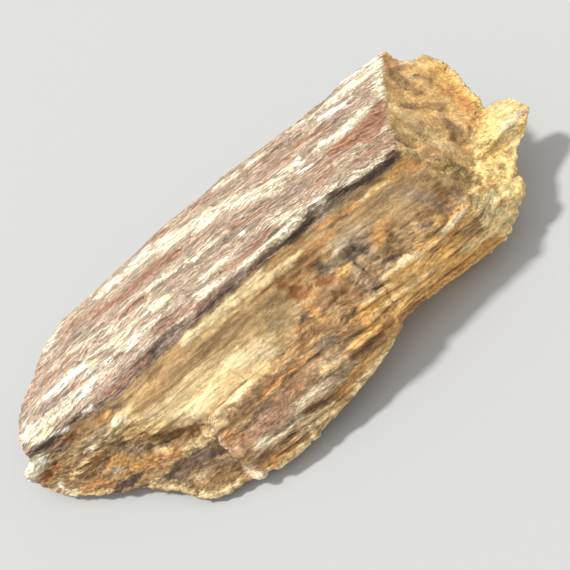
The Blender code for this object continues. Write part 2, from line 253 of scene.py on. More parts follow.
bark_foot_wander = waves(grain, height=4.5, length=15.0, width=60.0, seed=103.0)
bark_foot_wander += waves(grain, height=2.5, length=5.0, width=60.0, seed=105.0)
bark_foot = BARK_FOOT + BARK_FOOT_RISE * ramp(x, -52.0, -64.0)
bark_foot += (bark_foot_wander - BARK_FOOT_SINK) * ramp(x, -50.0, -40.0)
bark = patch(nudged, BARK_FACE, 1.2) * ramp(grain[:, 2] + edge_wander - bark_foot, 0.0, BARK_FADE)
end_face = patch(nudged, END_FACE, 1.5) * patch(strayed, END_FACE, 2.0) * (1.0 - bark)
rim = patch(strayed, RIM, 2.0)
splinter = patch(nudged, SPLINTER, 2.0)
side = patch(nudged, SIDE, 2.5)
slab = patch(nudged, SLAB, 0.5)
slab_rise = patch(shift_along(0.4 * edge_wander, 0.15 * wide_wander, 0.0), SLAB, 1.3)
lower = patch(nudged, LOWER_LEFT, 3.0)
hollow = patch(nudged, HOLLOW, 1.2)
butter_plate = patch(nudged, BUTTER_PLATE, 0.7)
smooth_tear = patch(nudged, SMOOTH_TEAR, 4.0)
knotty = patch(nudged, KNOTTY, 3.0) + hollow
split = np.clip(1.0 - rim - end_face, 0.0, 1.0)

# The back and the undercut sides, where the trunk's layers come out as ledges.
behind = ramp(normal_y, 0.15, 0.45) * ramp(normal_z, 0.85, 0.5)
undercut = ramp(normal_z, -0.3, -0.7)
under_end = ramp(normal_z, -0.15, -0.5) * ramp(x, 42.0, 50.0) * ramp(y, -14.0, -6.0)
hidden = np.clip(behind + undercut + under_end, 0.0, 1.0) * (1.0 - bark)
hidden *= 1.0 - end_face * ramp(normal_z, -0.15, 0.15)

# ---------------------------------------------------------------- stains
# Minerals in the ground water coloured the wood: cream silica, brick and mauve iron in the
# bark, butter to rust on the torn face.  The dark band along the ridge is partly a dark
# manganese stain and partly painted shade under the ridge's overhang.
STAINS = {
    "chalk": (255, 242, 212), "white": (240, 232, 212), "cream": (226, 210, 178),
    "pale": (240, 214, 164), "yellow": (240, 218, 160), "butter": (230, 202, 148),
    "straw": (230, 196, 130), "gold": (226, 182, 106), "tan": (180, 146, 100),
    "ochre": (200, 148, 84), "orange": (196, 138, 76), "orange_pink": (176, 134, 104),
    "rust": (150, 98, 52), "brick": (152, 107, 76), "rosy": (176, 136, 104),
    "mauve": (144, 122, 102), "brown": (142, 106, 66), "band": (118, 92, 72),
    "umber": (100, 76, 54), "dark": (70, 54, 40), "olive": (150, 122, 82),
    "ash": (168, 144, 112), "slate": (116, 100, 78),
}
TORN_COLOUR = (182, 148, 98)
BARK_COLOUR = (172, 147, 120)
# The other faces' colours, and over how many mm each ends.  The side's and the rim's are partly painted
# light: paler than the stone, so that these shaded faces read as lit.
FACE_COLOURS = ((SLAB, (160, 126, 86), 1.5), (LOWER_LEFT, (164, 130, 84), 4.0),
                (SIDE, (255, 200, 118), 2.0), (RIM, (255, 218, 144), 2.0),
                (END_FACE, (222, 178, 114), 2.0))
# Hard silica stands proud of the stone, and soft iron stains are eaten back, in mm.
STAIN_LIFT = {"white": 0.2, "cream": 0.15, "pale": 0.15, "butter": 0.1, "umber": -0.12,
              "dark": -0.3, "mauve": -0.1, "brick": -0.1, "rust": -0.2, "slate": -0.15,
              "brown": -0.1, "band": -0.1, "ochre": 0.05}

# Each streak is (stain, width, strength, and the points along it).  Its width and points
# were placed in the camera's view, VIEW_SIZE points wide, and are laid on the stone
# from there.
BARK_STREAKS = [
    ("cream", 12, 0.8, (100, 294), (122, 277), (148, 252), (165, 240)),
    ("cream", 16, 0.95, (160, 250), (185, 232), (206, 216)),
    ("cream", 13, 0.9, (200, 228), (228, 206), (250, 196)),
    ("cream", 20, 0.9, (226, 206), (250, 197), (272, 188)),
    ("cream", 9, 0.7, (215, 190), (240, 172), (262, 156)),
    ("cream", 9, 0.8, (272, 185), (290, 168), (300, 160)),
    ("cream", 8, 0.8, (296, 128), (322, 110), (345, 92)),
    ("white", 9, 0.85, (322, 119), (338, 108), (352, 98)),
    ("cream", 13, 0.9, (345, 92), (366, 76), (380, 64)),
    ("white", 5, 0.8, (345, 80), (365, 66), (382, 55)),
    ("cream", 7, 0.9, (378, 72), (381, 88), (383, 97)),
    ("cream", 9, 0.95, (318, 149), (335, 139), (352, 123), (368, 110), (382, 97)),
    ("white", 5, 0.9, (322, 147), (336, 137), (350, 126)),
    ("white", 5, 0.9, (302, 171), (312, 166)),
    ("white", 3, 0.8, (236, 236), (248, 233)),
    ("cream", 7, 0.7, (246, 264), (256, 255), (275, 243), (292, 232)),
    ("cream", 13, 0.85, (270, 228), (285, 220), (302, 212)),
    ("cream", 8, 0.9, (334, 190), (350, 181), (362, 174), (384, 158)),
    ("white", 5, 0.8, (312, 206), (325, 197)),
    ("cream", 5, 0.7, (66, 376), (90, 358), (112, 342), (140, 318), (160, 302)),
    ("cream", 5, 0.7, (50, 372), (78, 348), (108, 328), (135, 306)),
    ("cream", 4, 0.6, (80, 380), (110, 358), (135, 335), (158, 318)),
    ("cream", 6, 0.6, (150, 292), (175, 272), (205, 250), (222, 238)),
    ("cream", 6, 0.7, (198, 285), (215, 268), (240, 252)),
    ("cream", 5, 0.6, (120, 312), (150, 290), (178, 270)),
    ("yellow", 8, 0.9, (158, 306), (168, 298)),
    ("yellow", 5, 0.8, (116, 345), (126, 335)),
    ("yellow", 5, 0.8, (88, 368), (98, 360)),
    ("white", 9, 0.95, (46, 399), (60, 389), (72, 377), (86, 366)),
    ("white", 13, 0.95, (66, 401), (80, 394), (90, 384), (97, 374)),
    ("white", 5, 0.8, (108, 362), (125, 348), (142, 332)),
    ("cream", 12, 0.9, (22, 441), (42, 425), (60, 410), (74, 400)),
    ("yellow", 8, 0.9, (31, 448), (40, 441), (48, 432)),
    ("yellow", 5, 0.6, (52, 420), (62, 412)),
    ("cream", 8, 0.9, (43, 350), (51, 338), (62, 327)),
    ("cream", 5, 0.7, (24, 425), (30, 412), (40, 404)),
    ("brick", 11, 0.9, (97, 314), (112, 305), (128, 294)),
    ("brick", 17, 0.95, (122, 298), (140, 281), (156, 266)),
    ("brick", 13, 0.9, (150, 270), (164, 260), (178, 252)),
    ("brick", 5, 0.7, (176, 254), (196, 242), (214, 230)),
    ("brick", 9, 0.7, (68, 330), (85, 318), (102, 306)),
    ("mauve", 6, 0.8, (66, 340), (90, 328), (100, 318)),
    ("mauve", 6, 0.7, (44, 368), (64, 350), (84, 338)),
    ("mauve", 5, 0.7, (42, 358), (58, 345)),
    ("orange_pink", 8, 0.7, (28, 400), (36, 381), (42, 366)),
    ("orange_pink", 5, 0.8, (63, 326), (66, 338)),
    ("orange_pink", 4, 0.8, (96, 384), (92, 400)),
    ("mauve", 6, 0.9, (24, 418), (42, 408), (57, 402), (68, 392), (86, 382), (98, 371)),
    ("mauve", 4, 0.9, (46, 412), (60, 402)),
    ("mauve", 5, 0.7, (100, 360), (116, 352), (128, 344)),
    ("brick", 10, 0.7, (160, 328), (176, 316), (196, 304)),
    ("mauve", 6, 0.8, (196, 262), (216, 246), (240, 232), (262, 219)),
    ("brick", 6, 0.8, (232, 228), (250, 219), (266, 210)),
    ("mauve", 12, 0.75, (236, 258), (256, 242), (276, 228)),
    ("brick", 8, 0.8, (250, 247), (264, 236), (272, 228)),
    ("brick", 5, 0.8, (226, 270), (244, 256), (262, 246)),
    ("mauve", 7, 0.6, (156, 290), (178, 275), (196, 262)),
    ("mauve", 6, 0.6, (184, 300), (196, 288), (206, 280)),
    ("brick", 10, 0.9, (300, 143), (314, 134), (330, 126)),
    ("mauve", 8, 0.8, (328, 127), (340, 117), (350, 108)),
    ("brick", 20, 0.95, (346, 143), (362, 130), (378, 116)),
    ("brick", 12, 0.9, (378, 128), (382, 112), (380, 104)),
    ("brick", 9, 0.9, (334, 152), (352, 142), (368, 138)),
    ("orange_pink", 9, 0.7, (318, 172), (332, 162), (340, 157)),
    ("orange_pink", 6, 0.6, (304, 180), (318, 174)),
    ("brick", 7, 0.7, (270, 160), (292, 150)),
    ("brick", 6, 0.6, (256, 176), (276, 165), (290, 158)),
    ("brick", 6, 0.7, (258, 187), (274, 178)),
    ("mauve", 8, 0.7, (268, 208), (288, 197), (312, 186)),
    ("brick", 8, 0.7, (318, 184), (334, 172)),
    ("brick", 5, 0.8, (148, 244), (160, 235)),
    ("brick", 4, 0.7, (228, 178), (244, 168)),
    ("orange_pink", 6, 0.6, (206, 200), (220, 192)),
    ("mauve", 6, 0.7, (340, 104), (352, 96), (366, 90)),
    ("brick", 6, 0.7, (352, 166), (370, 152), (388, 142)),
    ("brick", 6, 0.8, (386, 140), (394, 146)),
    ("mauve", 8, 0.8, (60, 436), (72, 423), (86, 412)),
    ("mauve", 5, 0.7, (104, 392), (124, 376), (142, 362)),
    ("cream", 6, 0.6, (110, 330), (134, 312), (152, 298)),
    ("cream", 8, 0.7, (120, 352), (140, 338), (158, 322)),
    ("cream", 7, 0.7, (74, 392), (94, 380), (112, 368)),
    ("cream", 7, 0.7, (196, 298), (208, 290), (220, 282)),
    ("brick", 8, 0.85, (44, 384), (56, 372), (70, 358)),
    ("brick", 6, 0.7, (112, 302), (128, 288), (142, 276)),
    ("cream", 7, 0.8, (242, 266), (254, 257), (266, 248)),
    ("cream", 7, 0.85, (272, 241), (284, 232), (296, 220)),
    ("brick", 9, 0.8, (120, 318), (134, 306), (146, 298)),
    ("brick", 6, 0.6, (72, 392), (86, 380)),
    ("brick", 13, 0.75, (98, 314), (112, 304), (122, 298)),
    ("brick", 12, 0.75, (332, 149), (348, 141), (372, 138)),
    ("brick", 6, 0.6, (160, 268), (172, 258)),
    ("white", 7, 0.75, (37, 449), (42, 445), (47, 440)),
]
# Along the ridge's front the band is partly the stone's own dark stain and partly painted shade under the
# overhanging bark; its small white flecks are painted glints.
BAND_STREAKS = [
    ("umber", 8, 0.9, (26, 456), (42, 447), (58, 437)),
    ("umber", 6, 0.85, (58, 438), (68, 428), (80, 416)),
    ("band", 9, 0.85, (80, 416), (94, 408), (104, 400), (116, 390)),
    ("band", 12, 0.9, (114, 391), (138, 368), (152, 355)),
    ("band", 12, 0.95, (150, 356), (162, 346), (184, 326)),
    ("band", 11, 0.95, (182, 327), (200, 311), (220, 297), (238, 279)),
    ("band", 8, 0.9, (238, 280), (250, 268), (264, 257)),
    ("band", 7, 0.9, (262, 258), (276, 248), (292, 240)),
    ("umber", 7, 0.9, (290, 240), (302, 229), (316, 215)),
    ("umber", 5, 0.8, (304, 219), (316, 206), (328, 201)),
    ("umber", 10, 0.95, (326, 202), (346, 192), (366, 180), (384, 167), (396, 155)),
    ("slate", 8, 0.8, (312, 212), (326, 206), (340, 202)),
    ("ash", 5, 0.7, (316, 207), (328, 202)),
    ("dark", 4, 0.75, (150, 354), (164, 342), (178, 331)),
    ("dark", 3, 0.7, (200, 314), (214, 303), (226, 292)),
    ("umber", 3, 0.8, (190, 325), (206, 312), (222, 299), (236, 284)),
    ("umber", 3, 0.8, (246, 276), (262, 264), (276, 253)),
    ("dark", 4, 0.8, (294, 236), (306, 225), (318, 216)),
    ("dark", 4, 0.8, (34, 452), (50, 443)),
    ("dark", 4, 0.9, (340, 196), (356, 187), (368, 180)),
    ("dark", 4, 0.8, (370, 178), (390, 162)),
    ("brick", 5, 0.8, (104, 395), (120, 384), (136, 370), (146, 360)),
    ("brick", 4, 0.7, (188, 318), (200, 307), (212, 298)),
    ("orange_pink", 4, 0.7, (184, 322), (194, 314)),
    ("mauve", 5, 0.8, (158, 347), (172, 334), (186, 320)),
    ("mauve", 5, 0.8, (236, 281), (246, 271)),
    ("white", 4, 0.85, (56, 434), (67, 429)),
    ("white", 3, 0.8, (82, 413), (92, 407)),
    ("white", 3, 0.7, (318, 204), (326, 200)),
    ("cream", 3, 0.7, (180, 322), (194, 312)),
    ("cream", 5, 0.9, (238, 270), (250, 262), (262, 252)),
    ("cream", 5, 0.9, (268, 246), (282, 236), (294, 224)),
]
FACE_STREAKS = [
    ("butter", 24, 0.8, (160, 418), (185, 400), (210, 382), (240, 362), (262, 350)),
    ("butter", 20, 0.8, (180, 420), (205, 402), (235, 385), (262, 362)),
    ("butter", 14, 0.8, (232, 362), (252, 348), (268, 342)),
    ("pale", 12, 0.8, (244, 362), (262, 350), (276, 352)),
    ("pale", 10, 0.7, (180, 418), (196, 408), (212, 396)),
    ("tan", 10, 0.7, (150, 400), (172, 384), (192, 368)),
    ("brown", 7, 0.6, (150, 378), (170, 362), (186, 348)),
    ("brown", 9, 0.7, (200, 350), (216, 340), (234, 326), (246, 316)),
    ("olive", 6, 0.6, (206, 350), (222, 340), (240, 322)),
    ("brown", 8, 0.6, (222, 326), (240, 308), (262, 292)),
    ("brown", 6, 0.6, (164, 384), (186, 366), (206, 350)),
    ("pale", 4, 0.7, (268, 276), (280, 266)),
    ("tan", 6, 0.7, (162, 374), (178, 356), (192, 342)),
    ("butter", 7, 0.95, (111, 428), (120, 417), (130, 407)),
    ("ochre", 8, 0.7, (390, 178), (402, 164), (412, 160)),
    ("slate", 6, 0.8, (328, 266), (346, 262)),
    ("ash", 12, 0.8, (336, 244), (350, 240), (362, 234)),
    ("ash", 12, 0.8, (350, 246), (366, 240)),
    ("slate", 8, 0.9, (348, 256), (364, 249)),
    ("dark", 4, 0.8, (350, 240), (356, 250)),
    ("slate", 4, 0.8, (352, 238), (368, 236)),
    ("tan", 10, 0.7, (328, 250), (340, 258), (344, 250)),
    ("slate", 6, 0.6, (336, 266), (350, 262)),
    ("ochre", 6, 0.9, (342, 272), (352, 268)),
    ("orange", 5, 0.8, (318, 312), (324, 320)),
    ("ochre", 5, 0.8, (296, 330), (304, 325)),
    ("brown", 7, 0.8, (322, 306), (334, 300), (346, 306)),
    ("rust", 4, 0.8, (346, 290), (360, 294)),
    ("brown", 7, 0.7, (346, 292), (362, 296)),
    ("butter", 5, 0.7, (328, 296), (340, 286)),
    ("umber", 7, 0.8, (304, 320), (310, 316)),
    ("slate", 6, 0.7, (302, 322), (306, 318)),
    ("cream", 4, 0.7, (297, 318), (298, 308)),
    ("rust", 9, 0.7, (300, 348), (308, 336), (318, 328)),
    ("brown", 10, 0.7, (304, 340), (318, 330), (330, 324)),
    ("olive", 10, 0.7, (264, 306), (280, 300), (296, 300)),
    ("olive", 12, 0.6, (262, 322), (282, 312), (296, 312)),
    ("ash", 8, 0.6, (270, 328), (286, 322)),
    ("olive", 10, 0.8, (358, 264), (370, 276), (380, 284)),
    ("slate", 7, 0.8, (372, 283), (380, 286)),
    ("slate", 7, 0.7, (366, 288), (352, 282)),
    ("ash", 9, 0.7, (366, 256), (376, 262), (388, 262)),
    ("brown", 9, 0.7, (372, 258), (384, 256), (392, 262)),
    ("umber", 5, 0.8, (390, 258), (398, 256)),
    ("umber", 4, 0.8, (378, 278), (390, 272)),
    ("pale", 5, 0.85, (382, 281), (396, 270), (404, 264)),
    ("pale", 7, 0.9, (404, 262), (412, 256), (420, 254)),
    ("tan", 16, 0.6, (372, 212), (392, 206), (416, 214)),
    ("ochre", 14, 0.8, (376, 240), (384, 230), (388, 224)),
    ("umber", 4, 0.8, (404, 226), (410, 222)),
    ("olive", 6, 0.7, (364, 224), (374, 218), (384, 214)),
    ("ash", 7, 0.7, (344, 232), (358, 226), (370, 222)),
    ("brown", 8, 0.7, (356, 200), (372, 188), (384, 180)),
    ("ash", 10, 0.7, (452, 192), (462, 200)),
    ("brown", 10, 0.8, (438, 186), (446, 196), (444, 206)),
    ("brown", 8, 0.7, (416, 218), (432, 212), (450, 212)),
    ("ash", 8, 0.7, (430, 232), (422, 228)),
    ("slate", 5, 0.8, (424, 230), (432, 225)),
    ("brown", 6, 0.7, (424, 178), (440, 176), (456, 178)),
    ("tan", 8, 0.6, (424, 240), (436, 230)),
    ("brown", 12, 0.5, (400, 180), (420, 186)),
    ("rust", 5, 0.7, (410, 172), (420, 164)),
    ("ochre", 7, 0.7, (398, 168), (408, 162)),
    ("pale", 9, 0.98, (184, 343), (205, 325), (220, 312), (236, 298)),
    ("pale", 7, 0.9, (236, 297), (250, 284), (262, 272)),
    ("butter", 8, 0.85, (246, 294), (264, 283), (284, 268), (300, 255)),
    ("rust", 4, 0.7, (254, 297), (266, 289), (278, 281)),
    ("orange", 4, 0.9, (298, 259), (312, 251), (326, 240), (334, 233)),
    ("orange", 4, 0.8, (306, 244), (318, 240)),
    ("orange", 5, 0.8, (316, 228), (330, 221), (342, 214), (352, 208)),
    ("umber", 3, 0.8, (318, 231), (334, 225), (348, 214)),
    ("ochre", 5, 0.8, (352, 207), (366, 197), (380, 186)),
    ("butter", 4, 0.7, (360, 200), (374, 190), (386, 182)),
    ("brown", 12, 0.7, (280, 280), (298, 268), (316, 256)),
    ("ochre", 5, 0.8, (294, 282), (300, 285)),
    ("slate", 9, 0.85, (319, 266), (326, 271)),
    ("dark", 4, 0.5, (322, 268), (326, 270)),
    ("ochre", 9, 0.8, (316, 296), (330, 290), (346, 280)),
    ("rust", 4, 0.6, (306, 304), (320, 296), (336, 288)),
    ("pale", 4, 0.7, (314, 300), (326, 292), (338, 284)),
    ("ochre", 9, 0.8, (308, 306), (318, 314), (324, 322)),
    ("umber", 8, 0.6, (393, 234), (399, 240)),
    ("brown", 5, 0.6, (386, 230), (392, 222), (402, 224)),
    ("brown", 5, 0.5, (408, 228), (410, 238), (402, 246)),
    ("mauve", 10, 0.6, (404, 194), (420, 196), (436, 202)),
    ("slate", 4, 0.6, (434, 206), (448, 208), (458, 207)),
    ("rust", 6, 0.6, (440, 198), (448, 192), (454, 188)),
    ("orange", 6, 0.7, (408, 168), (420, 164)),
    ("ash", 8, 0.6, (384, 196), (398, 190), (412, 188)),
    ("rust", 8, 0.75, (282, 283), (290, 290)),
    ("brown", 9, 0.6, (300, 272), (312, 266)),
    ("rust", 9, 0.8, (292, 293), (308, 291)),
    ("rust", 8, 0.85, (316, 282), (333, 276)),
    ("brown", 12, 0.6, (318, 300), (334, 288), (348, 294)),
    ("brown", 9, 0.6, (376, 270), (386, 266)),
    ("umber", 4, 0.6, (384, 248), (394, 254), (410, 254)),
    ("brown", 9, 0.5, (300, 312), (312, 304)),
    # Partly painted light: this yellow streak on the lip below the band is paler than the stone, so that
    # the slope, turned from the lamp, reads as lit.
    ("yellow", 6, 0.9, (188, 337), (205, 322), (221, 308), (236, 295)),
    ("straw", 4, 0.6, (206, 336), (224, 320), (242, 306), (256, 294)),
    ("ochre", 4, 0.6, (270, 265), (284, 254), (300, 243)),
    ("cream", 7, 0.75, (336, 252), (344, 246), (348, 242)),
    ("ash", 8, 0.8, (330, 262), (338, 258)),
    ("ash", 9, 0.85, (352, 268), (362, 278), (372, 290)),
    ("olive", 5, 0.7, (344, 276), (352, 286)),
    ("ash", 7, 0.8, (380, 262), (390, 268)),
    ("dark", 3, 0.85, (352, 258), (360, 268)),
    ("dark", 3, 0.8, (360, 250), (368, 254)),
    ("umber", 3, 0.8, (376, 258), (386, 262)),
    ("gold", 5, 0.8, (343, 271), (350, 266)),
    ("rust", 6, 0.8, (296, 291), (306, 296)),
    ("ash", 5, 0.6, (368, 250), (378, 254)),
    ("gold", 15, 0.5, (436, 170), (449, 161), (463, 149)),
    ("straw", 10, 0.45, (444, 178), (456, 168), (468, 158)),
    ("butter", 6, 0.7, (150, 430), (163, 428), (176, 424)),
    ("cream", 8, 0.6, (102, 434), (112, 427), (122, 420)),
    ("butter", 9, 0.5, (190, 378), (202, 369), (214, 360)),
]
SLAB_STREAKS = [
    ("tan", 7, 0.7, (222, 424), (230, 414), (240, 406)),
    ("brown", 12, 0.85, (230, 424), (248, 408), (266, 392)),
    ("brown", 9, 0.8, (262, 396), (280, 380), (296, 370)),
    ("umber", 6, 0.8, (248, 430), (262, 413), (272, 404)),
    ("umber", 4, 0.6, (236, 412), (252, 400), (264, 388)),
    ("rust", 6, 0.75, (226, 440), (238, 438), (248, 440)),
    ("ochre", 5, 0.7, (226, 432), (236, 430)),
    ("rust", 4, 0.8, (272, 386), (286, 374), (300, 362)),
    ("rosy", 13, 0.85, (256, 430), (270, 418), (284, 404)),
    ("rosy", 7, 0.8, (238, 448), (250, 438)),
    ("brick", 6, 0.7, (282, 400), (296, 388), (304, 384)),
    ("ash", 9, 0.8, (262, 440), (280, 428), (300, 408)),
    ("olive", 7, 0.7, (272, 436), (292, 420)),
    ("butter", 7, 0.8, (300, 428), (316, 414), (332, 400)),
    ("ash", 10, 0.6, (318, 372), (340, 358)),
    ("slate", 5, 0.7, (342, 374), (350, 360), (352, 350)),
    ("ash", 6, 0.8, (346, 368), (354, 354)),
    ("brown", 12, 0.7, (330, 342), (344, 332), (356, 326)),
    ("slate", 9, 0.7, (322, 346), (332, 338)),
    ("olive", 8, 0.7, (334, 350), (348, 340), (356, 332)),
    ("slate", 6, 0.8, (319, 356), (326, 352)),
    ("rosy", 9, 0.6, (316, 368), (326, 364)),
    ("brown", 12, 0.8, (356, 352), (368, 342), (378, 338)),
    ("rust", 6, 0.7, (378, 330), (392, 318)),
    ("butter", 7, 0.9, (346, 392), (364, 374), (382, 350), (388, 342)),
    ("ochre", 7, 0.7, (334, 396), (350, 378), (360, 366)),
    ("brown", 8, 0.8, (262, 456), (274, 450)),
    ("yellow", 3, 0.8, (222, 410), (236, 398), (248, 388)),
    ("butter", 6, 0.8, (218, 426), (228, 422)),
    ("ochre", 4, 0.85, (264, 399), (278, 385), (292, 371), (312, 353)),
    ("rust", 4, 0.75, (262, 397), (276, 382), (290, 369)),
    ("umber", 3, 0.7, (284, 382), (298, 372)),
    ("ash", 12, 0.7, (296, 406), (318, 388), (336, 374)),
    ("cream", 4, 0.6, (300, 402), (318, 388), (332, 376)),
    ("ochre", 8, 0.8, (268, 462), (286, 449), (306, 432), (330, 410), (346, 390)),
    ("pale", 4, 0.9, (258, 478), (274, 465), (292, 454), (316, 432), (338, 412)),
    ("cream", 9, 0.7, (248, 466), (256, 474)),
    ("cream", 4, 0.8, (256, 448), (266, 440)),
    ("ash", 5, 0.9, (212, 426), (221, 438), (228, 447), (241, 457), (250, 461)),
    ("cream", 3, 0.8, (214, 430), (222, 440), (232, 450)),
    # Painted shadow: a dark line beside the slab's broken left end.
    ("dark", 4, 0.8, (216, 443), (224, 450)),
    ("slate", 4, 0.7, (228, 453), (240, 462)),
    ("butter", 7, 0.6, (322, 372), (336, 366), (346, 360)),
    ("butter", 7, 0.7, (300, 436), (316, 422), (330, 410)),
    ("cream", 5, 0.6, (270, 440), (286, 428), (300, 416)),
    ("pale", 8, 0.95, (215, 419), (230, 404), (252, 384)),
    ("butter", 7, 0.55, (292, 452), (312, 436), (330, 418), (344, 398)),
]
LOWER_STREAKS = [
    ("umber", 13, 0.85, (176, 474), (196, 458), (214, 442)),
    ("dark", 5, 0.8, (164, 479), (178, 472), (184, 466)),
    ("umber", 6, 0.8, (178, 466), (200, 452), (214, 438)),
    ("brown", 6, 0.7, (206, 470), (226, 466), (242, 468)),
    ("butter", 8, 0.8, (154, 484), (172, 488), (190, 492)),
    ("ash", 5, 0.7, (160, 480), (176, 484)),
    ("rust", 5, 0.9, (162, 436), (174, 433)),
    ("slate", 5, 0.9, (162, 445), (169, 444)),
    ("ochre", 7, 0.8, (148, 456), (168, 452), (184, 454)),
    ("butter", 6, 0.8, (184, 452), (194, 444), (206, 434)),
    ("butter", 5, 0.7, (152, 444), (160, 440)),
    ("butter", 5, 0.6, (154, 450), (168, 449)),
    ("orange", 5, 0.7, (186, 456), (196, 448)),
    ("cream", 8, 0.8, (34, 460), (46, 456)),
    ("rust", 9, 0.9, (42, 478), (50, 471), (56, 466)),
    ("orange", 5, 0.8, (34, 480), (46, 480)),
    ("rust", 4, 0.7, (46, 474), (52, 466)),
    ("umber", 7, 0.75, (52, 456), (64, 446), (72, 438)),
    ("brown", 9, 0.8, (66, 446), (84, 428), (98, 418)),
    ("rust", 5, 0.85, (66, 443), (76, 434)),
    # Partly painted shade: this olive patch below the band.
    ("olive", 12, 0.8, (100, 410), (112, 404), (120, 402)),
    ("umber", 5, 0.7, (104, 412), (118, 406)),
    ("ochre", 6, 0.85, (98, 424), (106, 414)),
    ("brown", 10, 0.6, (76, 426), (96, 418)),
    ("olive", 10, 0.7, (52, 462), (66, 452), (78, 450)),
    ("butter", 4, 0.7, (88, 440), (100, 430)),
    ("ash", 12, 0.6, (88, 446), (108, 438), (124, 438)),
    ("olive", 10, 0.7, (104, 448), (118, 442), (130, 440)),
    ("brown", 8, 0.6, (120, 444), (140, 436), (152, 438)),
    ("ochre", 11, 0.85, (108, 464), (124, 460), (138, 464)),
    ("ochre", 6, 0.7, (146, 466), (158, 462)),
    ("ash", 5, 0.9, (55, 488), (60, 480)),
    ("white", 3, 0.8, (60, 484), (66, 490)),
    ("olive", 7, 0.6, (66, 492), (84, 474), (100, 460)),
    ("tan", 9, 0.6, (100, 472), (116, 474), (130, 480)),
    ("brown", 5, 0.7, (70, 470), (84, 458), (92, 448)),
    ("umber", 4, 0.7, (100, 470), (106, 460)),
    ("rust", 3, 0.7, (80, 458), (90, 452)),
    ("dark", 6, 0.9, (116, 490), (128, 483), (141, 475)),
    ("brown", 6, 0.8, (138, 488), (150, 480)),
    ("umber", 5, 0.6, (108, 492), (120, 486)),
    ("butter", 4, 0.7, (64, 496), (86, 496), (108, 496)),
    ("pale", 2.5, 0.8, (129, 459), (138, 447)),
    ("slate", 8, 0.5, (128, 450), (142, 446), (152, 450)),
    ("brown", 11, 0.8, (164, 437), (180, 434), (196, 429)),
    ("butter", 8, 0.85, (186, 454), (198, 444), (212, 434)),
    ("ochre", 4, 0.8, (180, 456), (190, 450)),
    ("dark", 6, 0.8, (200, 464), (212, 454), (224, 452)),
    ("mauve", 8, 0.7, (182, 470), (200, 454), (212, 446)),
    ("slate", 6, 0.6, (206, 468), (224, 462), (236, 464)),
    ("brown", 14, 0.6, (196, 486), (216, 478), (240, 470)),
    ("ash", 8, 0.6, (186, 484), (206, 474)),
    ("pale", 5, 0.8, (200, 494), (212, 498), (224, 494), (238, 484)),
    # Partly painted light: the tip's white, like its chalk further on, is paler than the stone so that
    # the tip, which the lamp misses, reads as lit.
    ("white", 14, 0.98, (30, 474), (36, 464), (40, 460)),
    ("orange", 6, 0.7, (86, 490), (98, 482), (108, 484)),
    ("orange", 4, 0.7, (126, 472), (142, 466)),
    ("butter", 5, 0.7, (70, 478), (84, 464), (98, 450)),
    ("ash", 8, 0.6, (96, 432), (110, 430), (120, 436)),
    ("butter", 5, 0.6, (128, 420), (142, 414), (156, 404)),
    ("olive", 6, 0.6, (84, 424), (96, 414)),
    ("butter", 8, 0.7, (112, 432), (134, 421), (160, 410)),
    ("straw", 8, 0.6, (124, 438), (142, 428), (160, 424)),
    ("umber", 12, 0.7, (186, 468), (202, 454), (214, 444)),
    ("umber", 4, 0.7, (170, 478), (188, 462), (204, 448)),
    ("ash", 6, 0.7, (104, 454), (114, 448)),
    ("cream", 4, 0.6, (86, 452), (96, 444)),
    ("ochre", 6, 0.6, (90, 462), (100, 456)),
    ("cream", 5, 0.6, (112, 472), (122, 468)),
    ("slate", 5, 0.6, (58, 450), (66, 446)),
    ("ash", 5, 0.7, (180, 430), (192, 425), (200, 419)),
    ("rust", 3, 0.7, (176, 433), (186, 428)),
    ("cream", 6, 0.6, (64, 490), (76, 494)),
    # Partly painted light: chalk on the tip, paler than the stone so that the shaded tip reads as lit.
    ("chalk", 14, 0.95, (26, 480), (31, 473), (36, 466)),
    ("pale", 8, 0.7, (38, 478), (46, 470)),
    ("rust", 7, 0.85, (43, 479), (50, 472), (56, 467)),
    ("tan", 6, 0.5, (164, 440), (176, 434)),
]
